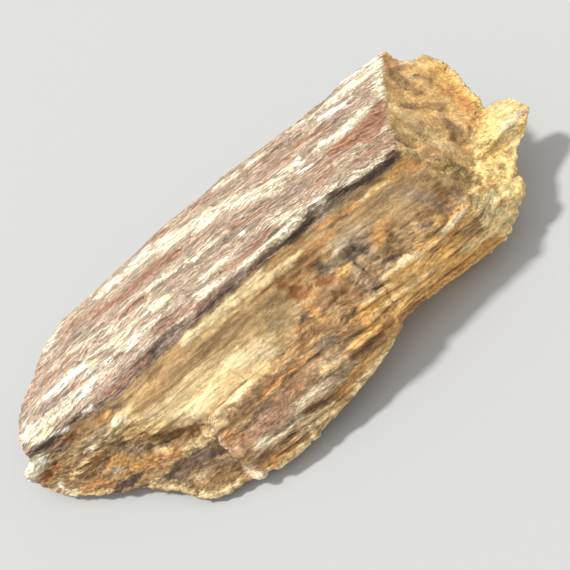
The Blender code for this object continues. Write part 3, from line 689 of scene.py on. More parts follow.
SIDE_STREAKS = [
    ("pale", 6, 0.95, (419, 258), (430, 248), (442, 236), (463, 212)),
    ("butter", 4, 0.9, (425, 262), (436, 252), (447, 241)),
    ("brown", 3, 0.8, (428, 254), (440, 243)),
    ("butter", 5, 0.7, (402, 282), (412, 272), (422, 262)),
    ("butter", 5, 0.7, (384, 304), (402, 290), (420, 276)),
    ("butter", 5, 0.6, (372, 318), (386, 306)),
    ("slate", 4, 0.6, (470, 236), (480, 228)),
    ("olive", 7, 0.6, (452, 246), (468, 238), (482, 232)),
    ("brown", 5, 0.7, (450, 236), (458, 232)),
    ("brown", 8, 0.75, (386, 334), (404, 316), (424, 300)),
    ("rust", 5, 0.7, (442, 278), (460, 264), (474, 254)),
    ("rust", 5, 0.75, (482, 242), (498, 236)),
    ("brown", 4, 0.6, (402, 296), (422, 282), (446, 266)),
    ("brown", 4, 0.6, (380, 322), (396, 306)),
    ("rust", 6, 0.7, (376, 332), (390, 320)),
    ("butter", 5, 0.7, (500, 240), (510, 228)),
    ("brown", 3, 0.6, (430, 270), (452, 254), (478, 240)),
    ("ochre", 6, 0.6, (430, 272), (452, 258), (476, 246)),
    ("slate", 4, 0.85, (344, 320), (356, 310), (368, 299)),
    ("dark", 3, 0.85, (352, 313), (366, 300)),
    ("pale", 5, 0.6, (366, 302), (380, 290), (392, 284)),
    ("brown", 9, 0.6, (350, 330), (368, 318), (384, 312)),
    ("olive", 10, 0.7, (466, 234), (476, 229), (486, 224)),
    ("pale", 9, 0.9, (486, 222), (498, 216), (506, 218)),
    ("pale", 6, 0.8, (462, 250), (480, 240), (498, 232)),
    ("rust", 8, 0.6, (470, 264), (484, 252), (496, 243)),
    ("rust", 6, 0.6, (400, 318), (420, 302), (444, 284), (466, 266)),
    ("umber", 3, 0.6, (408, 300), (430, 284), (452, 268)),
    ("pale", 4, 0.7, (404, 290), (424, 276), (444, 262)),
    ("pale", 3, 0.7, (390, 306), (410, 292)),
    ("straw", 8, 0.6, (430, 244), (440, 238), (448, 232)),
    ("straw", 6, 0.6, (470, 216), (482, 208)),
    ("olive", 7, 0.6, (464, 234), (480, 224), (490, 218)),
    ("straw", 8, 0.7, (470, 246), (488, 234), (506, 222)),
    ("orange", 7, 0.5, (462, 262), (482, 248), (500, 238)),
    ("cream", 7, 0.95, (440, 233), (452, 222), (464, 211)),
    # The yellow streaks here, at the rim's lower corner, are partly painted light: paler than the stone,
    # so that the shaded corner reads as lit.
    ("yellow", 15, 0.75, (478, 202), (494, 197), (508, 192)),
    ("yellow", 14, 0.75, (484, 215), (500, 209), (512, 202)),
    ("butter", 10, 0.8, (486, 233), (502, 222), (513, 212)),
    ("butter", 9, 0.5, (462, 226), (478, 214), (494, 204)),
    ("straw", 12, 0.6, (490, 222), (502, 214), (510, 204)),
    ("yellow", 13, 0.8, (498, 210), (506, 217), (512, 226)),
    ("yellow", 10, 0.5, (474, 206), (484, 199), (494, 190)),
]
END_STREAKS = [
    ("butter", 9, 0.8, (404, 62), (420, 64), (432, 70)),
    ("olive", 8, 0.7, (418, 78), (430, 80)),
    ("umber", 3, 0.7, (400, 76), (412, 78), (420, 74)),
    ("umber", 3, 0.7, (405, 90), (414, 92)),
    ("brown", 10, 0.6, (402, 106), (422, 106), (440, 108)),
    ("umber", 3, 0.6, (408, 108), (424, 112), (440, 110)),
    ("butter", 8, 0.6, (430, 66), (444, 70)),
    ("slate", 7, 0.9, (400, 140), (407, 144), (414, 147)),
    ("olive", 5, 0.6, (386, 96), (388, 112), (394, 130)),
    ("ochre", 9, 0.8, (472, 122), (482, 126)),
    ("dark", 2.5, 0.9, (482, 148), (490, 141)),
    ("brown", 7, 0.7, (474, 174), (479, 183)),
    ("ochre", 7, 0.6, (488, 167), (500, 166)),
    ("orange", 8, 0.6, (480, 190), (496, 184)),
    ("butter", 8, 0.7, (494, 110), (506, 104), (516, 104)),
    ("tan", 6, 0.6, (504, 138), (512, 152)),
    ("ochre", 5, 0.6, (466, 130), (478, 118)),
    ("ochre", 9, 0.7, (388, 58), (392, 66), (398, 66)),
    ("brown", 9, 0.7, (390, 72), (396, 80)),
    ("brown", 13, 0.7, (410, 84), (418, 92)),
    ("gold", 16, 0.8, (432, 66), (444, 76), (456, 86)),
    ("gold", 14, 0.9, (444, 86), (458, 94), (470, 108)),
    ("orange", 10, 0.8, (452, 92), (464, 98), (472, 112)),
    ("orange", 7, 0.6, (436, 84), (446, 90)),
    ("ochre", 8, 0.6, (420, 70), (432, 76)),
    ("brown", 13, 0.75, (450, 122), (454, 132), (458, 140)),
    ("umber", 5, 0.4, (450, 126), (455, 136)),
    ("butter", 9, 0.8, (392, 108), (404, 117), (416, 127), (434, 138), (450, 148)),
    ("butter", 7, 0.7, (398, 128), (414, 136), (432, 144)),
    ("brown", 3, 0.7, (392, 118), (408, 126), (426, 137), (446, 150), (460, 158)),
    ("brown", 3, 0.6, (404, 134), (424, 144), (444, 154)),
    ("ash", 8, 0.6, (424, 156), (440, 160), (452, 158)),
    ("umber", 7, 0.6, (451, 164), (460, 168)),
    ("brown", 6, 0.5, (430, 166), (444, 170)),
    ("umber", 6, 0.5, (462, 168), (468, 176)),
    ("ochre", 8, 0.6, (394, 160), (404, 160)),
    ("straw", 10, 0.6, (400, 152), (412, 150), (424, 158)),
    ("straw", 4, 0.7, (394, 108), (406, 118), (420, 130)),
    ("butter", 8, 0.6, (436, 146), (450, 150), (462, 156)),
    ("straw", 4, 0.6, (402, 80), (412, 75)),
    ("olive", 6, 0.5, (470, 218), (480, 212)),
    ("pale", 5, 0.95, (504, 130), (514, 120), (525, 109)),
    ("butter", 6, 0.9, (506, 140), (514, 130), (520, 122)),
    ("pale", 5, 0.7, (510, 148), (518, 138)),
    ("ash", 3, 0.7, (502, 134), (512, 124), (521, 114)),
    ("ochre", 6, 0.5, (478, 160), (486, 156)),
    ("gold", 6, 0.5, (486, 176), (500, 180)),
    ("ochre", 5, 0.5, (496, 206), (504, 200)),
    ("gold", 16, 0.45, (442, 78), (462, 96), (478, 112)),
    ("orange", 10, 0.45, (448, 84), (468, 102), (482, 118)),
    ("slate", 8, 0.35, (392, 72), (404, 66)),
    ("ash", 7, 0.45, (396, 88), (412, 78)),
    ("slate", 6, 0.4, (450, 122), (460, 132)),
    ("orange", 12, 0.5, (446, 86), (456, 96), (466, 108)),
    ("gold", 10, 0.55, (432, 66), (446, 78), (458, 90)),
    ("cream", 7, 0.6, (503, 130), (510, 121), (518, 113)),
    ("olive", 9, 0.4, (446, 120), (454, 128), (462, 136)),
]

VIEW_SIZE = 570.0
VIEW_MIDDLE = VIEW_SIZE / 2.0
FOCAL = LENS / camera_data.sensor_width * VIEW_SIZE
STONE_MIDDLE = (285.0, 290.0)        # a point beside the outline slides towards this one
SLIDE = 1.0 / 60.0
SLIDES = 15
bpy.context.view_layer.update()


def on_stone(point):
    """Where the line of sight through a place in the view meets the stone, in mm."""
    for step in range(SLIDES):
        u, v = (near + (middle - near) * SLIDE * step for near, middle in zip(point, STONE_MIDDLE))
        sight = view_right * (u - VIEW_MIDDLE) + view_up * (VIEW_MIDDLE - v) - view_back * FOCAL
        met, place, _, _ = stone.ray_cast(CAMERA_PLACE, sight.normalized())
        if met:
            return place / MM
    raise ValueError("no stone at " + str(point))


def on_stone_all(streaks):
    """Streaks with their widths and points in mm on the stone."""
    laid = []
    for stain, width, strength, *points in streaks:
        spots = [on_stone(point) for point in points]
        away = sum((spot * MM - CAMERA_PLACE).length for spot in spots) / len(spots)
        laid.append((stain, width * away / FOCAL / MM, strength, np.array(spots)))
    return laid


def near_line(spots, points):
    """How far each spot is from the line through the points, or from a single point."""
    nearest = np.linalg.norm(spots - points[0], axis=1)
    for first, second in zip(points, points[1:]):
        first, second = np.array(first, float), np.array(second, float)
        run = second - first
        share = np.clip((spots - first) @ run / (run @ run), 0.0, 1.0)
        nearest = np.minimum(nearest, np.linalg.norm(spots - first - share[:, None] * run, axis=1))
    return nearest


def to_linear(colour):
    """An sRGB colour in 0 to 255 as linear light."""
    share = np.array(colour) / 255.0
    return np.where(share <= 0.04045, share / 12.92, ((share + 0.055) / 1.055) ** 2.4)


# The streaks of each face, and how much of the stone they cover.
band_streaks = on_stone_all(BAND_STREAKS)
streak_groups = [(on_stone_all(streaks), cover) for streaks, cover in
                 ((FACE_STREAKS, 1.0 - bark), (SLAB_STREAKS, 1.0 - bark),
                  (LOWER_STREAKS, 1.0 - bark), (SIDE_STREAKS, 0.8 - 0.8 * bark),
                  (END_STREAKS, 0.9 - 0.9 * bark), (BARK_STREAKS, bark))]
streak_groups.append((band_streaks, np.ones(vertex_count)))

# The trunk's layers, each with its own stain, show on the hidden walls.
LAYER_STAINS = ("tan", "ochre", "butter", "brown", "gold", "cream", "rust", "straw", "slate",
                "orange", "tan", "butter", "mauve")
STAINS_TO_A_LAYER = 1.5
LAYER_BLEND_FROM = 0.65              # share of a stain's thickness where the next sets in
layer_stain = STAINS_TO_A_LAYER * layer + 0.5 * edge_wander + 0.8 * wide_wander
layer_share = waves(grain, height=0.9, length=9.0, width=5.0, seed=107.0)
layer_share = hidden * np.clip(0.65 + layer_share, 0.15, 0.95)


def layer_colours(value):
    """The stains of the trunk's layers, each running softly into the next."""
    palette = to_linear([STAINS[name] for name in LAYER_STAINS])
    index = np.floor(value).astype(int)
    share = ramp(value - index, LAYER_BLEND_FROM, 1.0)[:, None]
    return palette[index % len(palette)] * (1.0 - share) + palette[(index + 1) % len(palette)] * share


STREAK_REACH = 0.54          # where a streak is half gone, as a share of its width
STREAK_FADE = 0.25           # over which share of its width it fades,
LEAST_FADE = 0.35            # and so many mm more
STREAK_STRENGTH = 1.15
LAYER_FRAY = 0.35


def stained(spots):
    """Each spot's colour, how far it stands proud in mm, and how dark the band is there."""
    colours = np.tile(to_linear(TORN_COLOUR), (vertex_count, 1))
    proud = np.zeros(vertex_count)
    banded = np.zeros(vertex_count)
    for corners, colour, feather in FACE_COLOURS:
        read_at = spots + (strayed - places) if corners is RIM else spots
        share = patch(read_at, corners, feather)[:, None]
        colours += (to_linear(colour) - colours) * share
    colours += (to_linear(BARK_COLOUR) - colours) * bark[:, None]
    frayed = layer_stain + LAYER_FRAY * np.sum(spots - places, axis=1)
    colours += (layer_colours(frayed) - colours) * layer_share[:, None]
    for streaks, cover in streak_groups:
        for stain, width, strength, points in streaks:
            low = np.min(points, axis=0) - width - 1.0
            high = np.max(points, axis=0) + width + 1.0
            close = np.flatnonzero(np.all((spots > low) & (spots < high), axis=1))
            reach = STREAK_REACH * width
            fade = 0.5 * (STREAK_FADE * width + LEAST_FADE)
            share = ramp(near_line(spots[close], points), reach + fade, reach - fade)
            share *= min(1.0, STREAK_STRENGTH * strength) * cover[close]
            colours[close] += (to_linear(STAINS[stain]) - colours[close]) * share[:, None]
            proud[close] += STAIN_LIFT.get(stain, 0.0) * share
            if streaks is band_streaks:
                banded[close] = np.maximum(banded[close], share)
    return colours, proud, banded


# Fibres part a streak's ends and edges.  Two frayed copies of all streaks are kept, and the
# finish picks between them fibre by fibre.
FRAY_LENGTH, FRAY_WIDTH = 1.4, 0.5   # how far the fibres pull a streak out, in mm
BARK_FRAY_LENGTH, BARK_FRAY_WIDTH = 1.2, 0.25
long_fray = waves(grain, height=1.0, length=12.0, width=0.8, seed=5.0)
short_fray = waves(grain, height=1.0, length=7.0, width=1.5, seed=17.0)
long_fray_again = waves(grain, height=1.0, length=14.0, width=0.9, seed=65.0)
short_fray_again = waves(grain, height=1.0, length=8.0, width=1.6, seed=77.0)
fray_rise = waves(grain, height=1.0, length=6.0, width=1.5, seed=21.0)
fray_length = FRAY_LENGTH + BARK_FRAY_LENGTH * bark
fray_width = FRAY_WIDTH + BARK_FRAY_WIDTH * bark
crumble_along = (1.0 - bark) * waves(grain, height=0.9, length=2.4, width=1.5, seed=81.0)
crumble_across = (1.0 - bark) * waves(grain, height=0.72, length=2.4, width=1.5, seed=83.0)
first_stain, first_proud, band = stained(shift_along(
    fray_length * long_fray + crumble_along, fray_width * short_fray + crumble_across, 0.4 * fray_rise))
second_stain, second_proud, _ = stained(shift_along(
    fray_length * long_fray_again + crumble_along, fray_width * short_fray_again + crumble_across,
    -0.4 * fray_rise))
proud = 0.5 * (first_proud + second_proud)
# The palest stains lie on smooth, dense silica.
pale_share = ramp(first_stain.mean(axis=1), 0.6, 0.8) * (1.0 - bark)

# ---------------------------------------------------------------- split faces
# Where the shard tore across the trunk's layers they break in steps, a narrow riser and a
# long tread.  Crumbs, knots and pits stand in the weathered places, and cracks cross them.
RISER = 0.2                  # share of a step that its riser takes
LUMP_SLOPE = 1.3
BARK_STEPS, SMOOTH_STEPS, LOWER_STEPS = 0.45, 0.25, 0.4   # share of the steps left there
TOOTH_HEIGHT = 0.6           # teeth along the slab's thin lower edge
TOOTH_TOP = 7.0
SLAB_HEIGHT = 1.3
PLATE_HEIGHT = 0.45
LOWER_SINK = 0.3
FACET_DROP = 0.45            # the splinter's far facet drops away behind its ridge
PROUD = 1.2
CRACK_DEPTH, CRACK_WIDTH = 0.2, 0.65
LEDGE_DEPTH, LEDGE_LUMPS, LEDGE_LUMP_SIZE = 1.5, 1.4, 8.0
WEAR_SKIP = 2.4
FOOT_FADE = (0.3, 1.8)       # heights over which the relief fades in above the foot


def stair(value):
    """Sawtooth from 0.5 down to -0.5 over the tread, and back up over the riser."""
    part = value - np.floor(value)
    return np.where(part < 1.0 - RISER, 0.5 - part / (1.0 - RISER), (part - 1.0) / RISER + 0.5)


def lumps(spots, size):
    """Rounded lumps with creases between them, from about -0.5 to 0.5."""
    nearest = np.array([noise.voronoi(spot)[0][0] for spot in (spots / size).tolist()])
    return 0.5 - LUMP_SLOPE * nearest ** 2


def total(*parts):
    """The sum of faces, each times its amount."""
    return sum(face * amount for face, amount in parts)


patchy = ramp(waves(grain, height=1.6, length=22.0, width=7.0, seed=47.0), -0.5, 0.5)
broken = ramp(waves(grain, height=1.8, length=9.0, width=3.5, seed=49.0), -0.55, 0.45)
step_size = split * (0.1 + 0.8 * patchy) * (0.25 + 0.75 * broken)
step_size *= 1.0 - (1.0 - BARK_STEPS) * bark
step_size *= (1.0 - (1.0 - SMOOTH_STEPS) * smooth_tear) * (1.0 - (1.0 - LOWER_STEPS) * lower)
step_size += side * (0.35 + 0.3 * broken)
relief = step_size * stair(layer)

# Fibres, and the swells of the bark.
ridges = 1.0 - 2.0 * np.abs(waves(grain, height=1.0, length=13.0, width=1.3, seed=31.0))
relief += (0.05 + 0.12 * split + 0.12 * bark) * ridges
relief += bark * waves(grain, height=0.25, length=10.0, width=2.6, seed=33.0)
relief += (0.05 + 0.1 * split) * waves(grain, height=1.0, length=6.0, width=0.8, seed=37.0)

# Crumbs.
crumbly = total((rim, 1.0), (lower, 0.8), (knotty, 0.6), (slab, 0.15)) * (1.0 - 0.8 * splinter)
crumbly = np.clip(crumbly + 0.08 * end_face, 0.0, 1.0)
warped = shift_along(0.8 * edge_wander, 0.8 * fray_rise, 0.5 * short_fray)
relief += crumbly * (0.9 * lumps(warped, 3.0) + 0.55 * lumps(warped + 40.0, 1.4))
relief += (0.12 + 0.1 * end_face + 0.3 * band) * lumps(warped + 80.0, 1.3)

# The broken end shows the cell walls in cross section, in streaks that run down the break.
END_STREAK = math.radians(-60)
end_grain = np.column_stack((x * math.cos(END_STREAK) + y * math.sin(END_STREAK),
                             y * math.cos(END_STREAK) - x * math.sin(END_STREAK), z))
relief += end_face * waves(end_grain, height=0.9, length=9.0, width=3.5, seed=71.0)
relief += end_face * waves(end_grain, height=0.35, length=5.0, width=1.2, seed=73.0)
relief -= FACET_DROP * patch(nudged, FAR_FACET, 0.5)

# The slab, its toothed lower edge, the butter plate and the lower left.
tooth = np.floor(waves(grain, height=1.5, length=3.5, width=30.0, seed=91.0)
                 + waves(grain, height=0.5, length=9.0, width=30.0, seed=93.0))
relief += TOOTH_HEIGHT * tooth * slab * ramp(z, TOOTH_TOP, 3.0)
relief += SLAB_HEIGHT * slab_rise * (0.5 + 0.5 * ramp(normal_z, -0.2, 0.4))
relief += PLATE_HEIGHT * butter_plate - LOWER_SINK * lower + PROUD * proud

# Pits and knobs as (point in the view, radius and height in mm).
PITS = [((325, 280), 1.8, 0.7), ((303, 293), 1.6, 0.6), ((322, 267), 1.6, 0.9), ((395, 235), 1.6, 0.8),
        ((305, 320), 1.5, 0.8), ((352, 252), 1.6, 0.8), ((362, 250), 1.3, 0.6), ((382, 284), 1.5, 0.7),
        ((357, 308), 1.3, 0.6)]
KNOBS = [((342, 249), 1.8, 0.7), ((378, 258), 2.2, 0.8), ((392, 262), 1.8, 0.6),
         ((378, 246), 1.8, 0.6), ((430, 208), 2.2, 0.6), ((418, 230), 2.0, 0.6),
         ((365, 232), 1.8, 0.6), ((340, 310), 2.2, 0.6), ((330, 300), 1.8, 0.5)]
for sign, bumps in ((-1.0, PITS), (1.0, KNOBS)):
    for point, radius, size in bumps:
        away = np.linalg.norm(warped - on_stone(point), axis=1)
        relief += sign * size * np.exp(-(away / radius) ** 2)

# Cracks as (strength, points in the view).
CRACKS = [(1.0, (345, 250), (350, 257), (355, 263), (362, 269), (369, 275), (377, 280), (384, 286)),
          (0.8, (384, 286), (388, 293), (392, 302)),
          (0.7, (373, 241), (380, 244), (387, 246), (394, 249), (402, 252), (411, 254), (422, 255)),
          (0.6, (378, 280), (386, 274), (392, 269), (398, 264)),
          (0.5, (263, 340), (274, 345), (279, 354), (281, 362)),
          (0.5, (199, 353), (220, 364), (238, 374), (247, 379)),
          (0.8, (247, 380), (238, 388), (231, 394)),
          (0.4, (231, 394), (220, 402), (211, 409)),
          (0.6, (319, 354), (326, 359), (332, 364)),
          (0.7, (481, 147), (490, 140)),
          (0.4, (498, 139), (509, 129), (519, 121))]
crack = np.zeros(vertex_count)
part_warped = 0.7 * places + 0.3 * warped
for strength, *points in CRACKS:
    gap = near_line(part_warped, [on_stone(point) for point in points])
    crack = np.maximum(crack, strength * ramp(gap, CRACK_WIDTH, 0.0))
relief -= CRACK_DEPTH * crack


def layer_wear(index):
    """How far each layer of the hidden walls is worn back, as a share that skips about."""
    return 0.5 + 0.5 * np.sin(WEAR_SKIP * index ** 2)


layer_index = np.floor(layer_stain)
worn = layer_wear(layer_index)
worn += (layer_wear(layer_index + 1.0) - worn) * ramp(layer_stain - layer_index, 0.8, 1.0)
ledges = LEDGE_DEPTH * worn + LEDGE_LUMPS * (0.5 - lumps(warped + 20.0, LEDGE_LUMP_SIZE))
ledges *= hidden * np.clip(behind + 0.4 * under_end, 0.0, 1.0)

foot_fade = ramp(z, *FOOT_FADE)
outward = relief * foot_fade - ledges
upward = (relief - ledges) * foot_fade
shaped = places + np.column_stack((normal_x * outward, normal_y * outward, normal_z * upward))
shaped[:, 2] = np.maximum(shaped[:, 2], 0.0)
place_vertices(shaped)

flaky = total((lower, 0.9), (knotty, 0.9), (slab, 0.6), (split * (1.0 - smooth_tear), 0.5))
flaky = np.clip(flaky, 0.2, 1.0) * (1.0 - 0.6 * bark - 0.7 * end_face * (1.0 - bark))
flaky *= (1.0 - 0.6 * pale_share) * (1.0 - 0.5 * side)
smooth_face = np.maximum(smooth_tear, np.maximum(0.8 * pale_share, 0.6 * side * (1.0 - bark)))

# ---------------------------------------------------------------- the stone's finish
# Silicified wood: dull and grainy on the torn faces, with a slight gloss on the bark face.
# Its fibres, flakes and grit are finer than the carved relief, and follow the same grain.
LAYER_SPAN = 40.0                    # the layers are kept as shares of so many of them,
THIN_LAYER_SPAN = 130.0              # or of so many thin ones
FLAKE_TINT = (1.08, 0.90, 0.70)      # tints multiply a stain's red, green and blue
PATCH_TINT = (1.06, 0.86, 0.60)
# The next three tints paint highlights and shade into the stain.
PAINTED_HIGHLIGHT_TINT = (1.5, 1.49, 1.44)
PAINTED_SHADE_TINT = (0.46, 0.41, 0.37)
CREASE_SHADE_TINT = (0.42, 0.34, 0.28)
CRACK_COLOUR = (0.12, 0.08, 0.045)
TONE_BASES = (1.95, 2.08, 2.3)       # how much a tone of 1 brightens red, green and blue
# How strongly each of them shows.
FLAKE_TINTING, PATCH_TINTING, GLINT_HIGHLIGHT_STRENGTH, CRUMB_GAP_SHADE_STRENGTH = 0.22, 0.25, 0.5, 0.28
CREASE_SHADE_STRENGTH, THIN_CREASE_SHADE_STRENGTH, LIP_HIGHLIGHT_STRENGTH, CRACK_DARK = 0.75, 0.4, 0.4, 0.6
TORN_ROUGHNESS, BARK_ROUGHNESS = 0.70, 0.42
WAVE_SCALE, WAVE_SIZE = 0.22, (2.0, 1.6, 1.6)
CRUMB_SIZE = 1.0 / 0.9
FLAKE_LENGTH, FLAKE_WIDTH = 3.4, 1.1


def keep_shares(name, *shares):
    """Keep a colour, or up to four shares, on each vertex of the stone."""
    kept = stone.data.color_attributes.new(name, "FLOAT_COLOR", "POINT")
    columns = np.clip(np.column_stack(shares), 0.0, 1.0)
    rgba = np.ones((vertex_count, 4))
    rgba[:, :columns.shape[1]] = columns
    kept.data.foreach_set("color", rgba.ravel())


keep_shares("stain", first_stain)
keep_shares("stain_again", second_stain)
keep_shares("faces", np.maximum(bark, band), crumbly, end_face, smooth_face)
keep_shares("splits", layer / LAYER_SPAN + 0.5, step_size, crack, flaky)
for name, vectors in (("grain", grain), ("end_grain", end_grain)):
    kept_vectors = stone.data.attributes.new(name, "FLOAT_VECTOR", "POINT")
    kept_vectors.data.foreach_set("vector", vectors.ravel())

finish = bpy.data.materials.new("silicified_wood")
finish.use_nodes = True
tree = finish.node_tree
shader = tree.nodes["Principled BSDF"]


def link(node, socket, value):
    """Feed a socket from another node's output, or set it to a value."""
    if isinstance(value, bpy.types.NodeSocket):
        tree.links.new(value, node.inputs[socket])
    else:
        node.inputs[socket].default_value = value


def attribute(name):
    """A value kept on the stone's vertices."""
    node = tree.nodes.new("ShaderNodeAttribute")
    node.attribute_name = name
    return node


def kept_shares(name):
    """The four shares kept on the vertices under a name."""
    kept = attribute(name)
    parts = tree.nodes.new("ShaderNodeSeparateColor")
    tree.links.new(kept.outputs["Color"], parts.inputs[0])
    return *parts.outputs, kept.outputs["Alpha"]


def math_node(operation, *values):
    """One sum in the material."""
    node = tree.nodes.new("ShaderNodeMath")
    node.operation = operation
    for index, value in enumerate(values):
        link(node, index, value)
    return node.outputs[0]


def times(*values):
    """The product of several values."""
    product = values[0]
    for value in values[1:]:
        product = math_node("MULTIPLY", product, value)
    return product


def plus(*values):
    """The sum of several values."""
    result = values[0]
    for value in values[1:]:
        result = math_node("ADD", result, value)
    return result


def centred(value):
    """A noise from 0 to 1, set about 0."""
    return math_node("SUBTRACT", value, 0.5)


def line(share, at_zero, at_one):
    """A value that runs straight from one to another with a share."""
    return math_node("MULTIPLY_ADD", share, at_one - at_zero, at_zero)


def spread(value, low, high, from_value=0.0, to_value=1.0):
    """Spread a value between two bounds over a new range, with soft ends."""
    node = tree.nodes.new("ShaderNodeMapRange")
    node.interpolation_type = "SMOOTHSTEP"
    for index, item in enumerate((value, low, high, from_value, to_value)):
        link(node, index, item)
    return node.outputs[0]


def blend(share, first, second):
    """Two values mixed by a share."""
    node = tree.nodes.new("ShaderNodeMix")
    for index, item in ((0, share), (2, first), (3, second)):
        link(node, index, item)
    return node.outputs[0]


def mix(share, first, second, mode="MIX"):
    """Two colours mixed by a share."""
    node = tree.nodes.new("ShaderNodeMix")
    node.data_type = "RGBA"
    node.blend_type = mode
    link(node, 0, share)
    for socket, colour in ((6, first), (7, second)):
        link(node, socket, colour if isinstance(colour, bpy.types.NodeSocket) else (*colour, 1.0))
    return node.outputs[2]


def tinted(base, tint, share=1.0):
    """A colour multiplied by a tint, as far as the share goes."""
    full = mix(1.0, base, tint, "MULTIPLY")
    return full if share == 1.0 else mix(share, base, full)


def waved(name):
    """Grain coordinates that wave a little, so that no thread runs straight for long."""
    vector = attribute(name).outputs["Vector"]
    wander = tree.nodes.new("ShaderNodeTexNoise")
    wander.inputs["Scale"].default_value = WAVE_SCALE
    wander.inputs["Detail"].default_value = 2.0
    tree.links.new(vector, wander.inputs["Vector"])
    wave = tree.nodes.new("ShaderNodeVectorMath")
    wave.operation = "MULTIPLY_ADD"
    tree.links.new(wander.outputs["Color"], wave.inputs[0])
    wave.inputs[1].default_value = WAVE_SIZE
    tree.links.new(vector, wave.inputs[2])
    return wave.outputs[0]


def scaled(source, length, width, seed=0.0):
    """Coordinates in which a length and a width in mm are 1."""
    node = tree.nodes.new("ShaderNodeMapping")
    tree.links.new(source, node.inputs["Vector"])
    node.inputs["Scale"].default_value = (1.0 / length, 1.0 / width, 1.0 / width)
    node.inputs["Location"].default_value = (seed, seed, seed)
    return node.outputs[0]


def fibres(source, length, width, seed, detail=3.0, roughness=0.6):
    """Noise drawn out along the grain, its sizes in mm."""
    texture = tree.nodes.new("ShaderNodeTexNoise")
    texture.inputs["Scale"].default_value = 1.0
    texture.inputs["Detail"].default_value = detail
    texture.inputs["Roughness"].default_value = roughness
    tree.links.new(scaled(source, length, width, seed), texture.inputs["Vector"])
    return texture.outputs["Fac"]


def cells(source):
    """Rounded cells, one to each unit of their coordinates."""
    texture = tree.nodes.new("ShaderNodeTexVoronoi")
    texture.inputs["Scale"].default_value = 1.0
    tree.links.new(source, texture.inputs["Vector"])
    return texture


waving = waved("grain")
end_waving = waved("end_grain")
bark_share, crumb_share, end_share, smooth_share = kept_shares("faces")
layer_value, step_share, crack_share, flake_share = kept_shares("splits")
torn = math_node("SUBTRACT", 1.0, bark_share)

dash = blend(end_share, fibres(waving, length=1.9, width=0.34, seed=3.0, detail=2.0),
             fibres(end_waving, length=1.6, width=0.4, seed=3.0, detail=2.0))
thread = blend(end_share, fibres(waving, length=7.0, width=0.8, seed=11.0),
               fibres(end_waving, length=6.0, width=1.0, seed=11.0))
thin_thread = fibres(waving, length=3.2, width=0.42, seed=15.0)
cloud = fibres(waving, length=6.0, width=3.0, seed=19.0, roughness=0.55)
blotch = fibres(waving, length=14.0, width=5.0, seed=23.0, detail=2.0, roughness=0.5)
speck = fibres(waving, length=1.1, width=0.7, seed=35.0)
grit = fibres(waving, length=0.45, width=0.32, seed=27.0, detail=2.0)
crumb_gap = cells(scaled(waving, CRUMB_SIZE, CRUMB_SIZE)).outputs["Distance"]
flakes = tree.nodes.new("ShaderNodeSeparateColor")
tree.links.new(cells(scaled(waving, FLAKE_LENGTH, FLAKE_WIDTH)).outputs["Color"], flakes.inputs[0])
flake_tone, flake_height, flake_hue = flakes.outputs

# Each fibre takes its stain from one copy of the streaks or the other.
fibre_choice = spread(plus(times(thread, 0.6), times(dash, 0.4)), 0.475, 0.525)
colour = mix(fibre_choice, attribute("stain").outputs["Color"], attribute("stain_again").outputs["Color"])
warm_flakes = times(spread(flake_hue, 0.55, 0.75), flake_share, torn, FLAKE_TINTING)
colour = tinted(colour, FLAKE_TINT, warm_flakes)
# A painted highlight colour and a painted shade colour, made from the stain.
highlight_colour = tinted(colour, PAINTED_HIGHLIGHT_TINT)
shade_colour = tinted(colour, PAINTED_SHADE_TINT)

# Lighter and darker fibres and grains, strongest in the bark.
vivid = plus(0.28, times(smooth_share, -0.1), times(crumb_share, -0.14), times(bark_share, 0.72))
calm_end = line(end_share, 1.0, 0.55)
scratch = times(spread(thin_thread, 0.42, 0.36), torn, calm_end, line(smooth_share, 1.0, 0.4))
rough_share = times(torn, calm_end, line(smooth_share, 0.42, 0.2))
tone = plus(times(spread(dash, 0.40, 0.60, -0.5, 0.5), vivid, 1.1),
            times(spread(thread, 0.38, 0.62, -0.5, 0.5), vivid, 0.9),
            times(spread(speck, 0.34, 0.66, -1.0, 1.0), rough_share),
            times(scratch, -0.45),
            times(centred(flake_tone), flake_share, 0.85),
            times(spread(cloud, 0.35, 0.65, -0.5, 0.5), torn, 0.5),
            times(spread(grit, 0.36, 0.64, -0.5, 0.5), line(bark_share, 0.3, 0.8)))
toning = tree.nodes.new("ShaderNodeCombineXYZ")
for channel, base in enumerate(TONE_BASES):
    link(toning, channel, math_node("POWER", base, tone))
colour = tinted(colour, toning.outputs[0])
colour = tinted(colour, PATCH_TINT, times(spread(blotch, 0.50, 0.66), torn, PATCH_TINTING))

# Crisp edges of the layers: painted shade in a dark crease at the foot of each riser, and a painted
# highlight along its pale broken lip.
ragged = plus(layer_value, times(centred(thread), 0.012), times(centred(dash), 0.006))
tread = math_node("FRACT", times(centred(ragged), LAYER_SPAN))
crease = times(spread(tread, 0.66, 0.80), spread(tread, 0.92, 0.82))
lip_highlight = times(spread(tread, 0.0, 0.04), spread(tread, 0.25, 0.05))
# The thin layers get a painted shade crease of their own.
thin_tread = math_node("FRACT", times(centred(ragged), THIN_LAYER_SPAN))
thin_crease = times(spread(thin_tread, 0.62, 0.8), spread(thin_tread, 0.98, 0.85))
# Painted glints: fine specks of the grain lightened like sparkles of light.
glint = times(spread(dash, 0.60, 0.70), spread(grit, 0.5, 0.65))
colour = mix(times(glint, GLINT_HIGHLIGHT_STRENGTH), colour, highlight_colour)
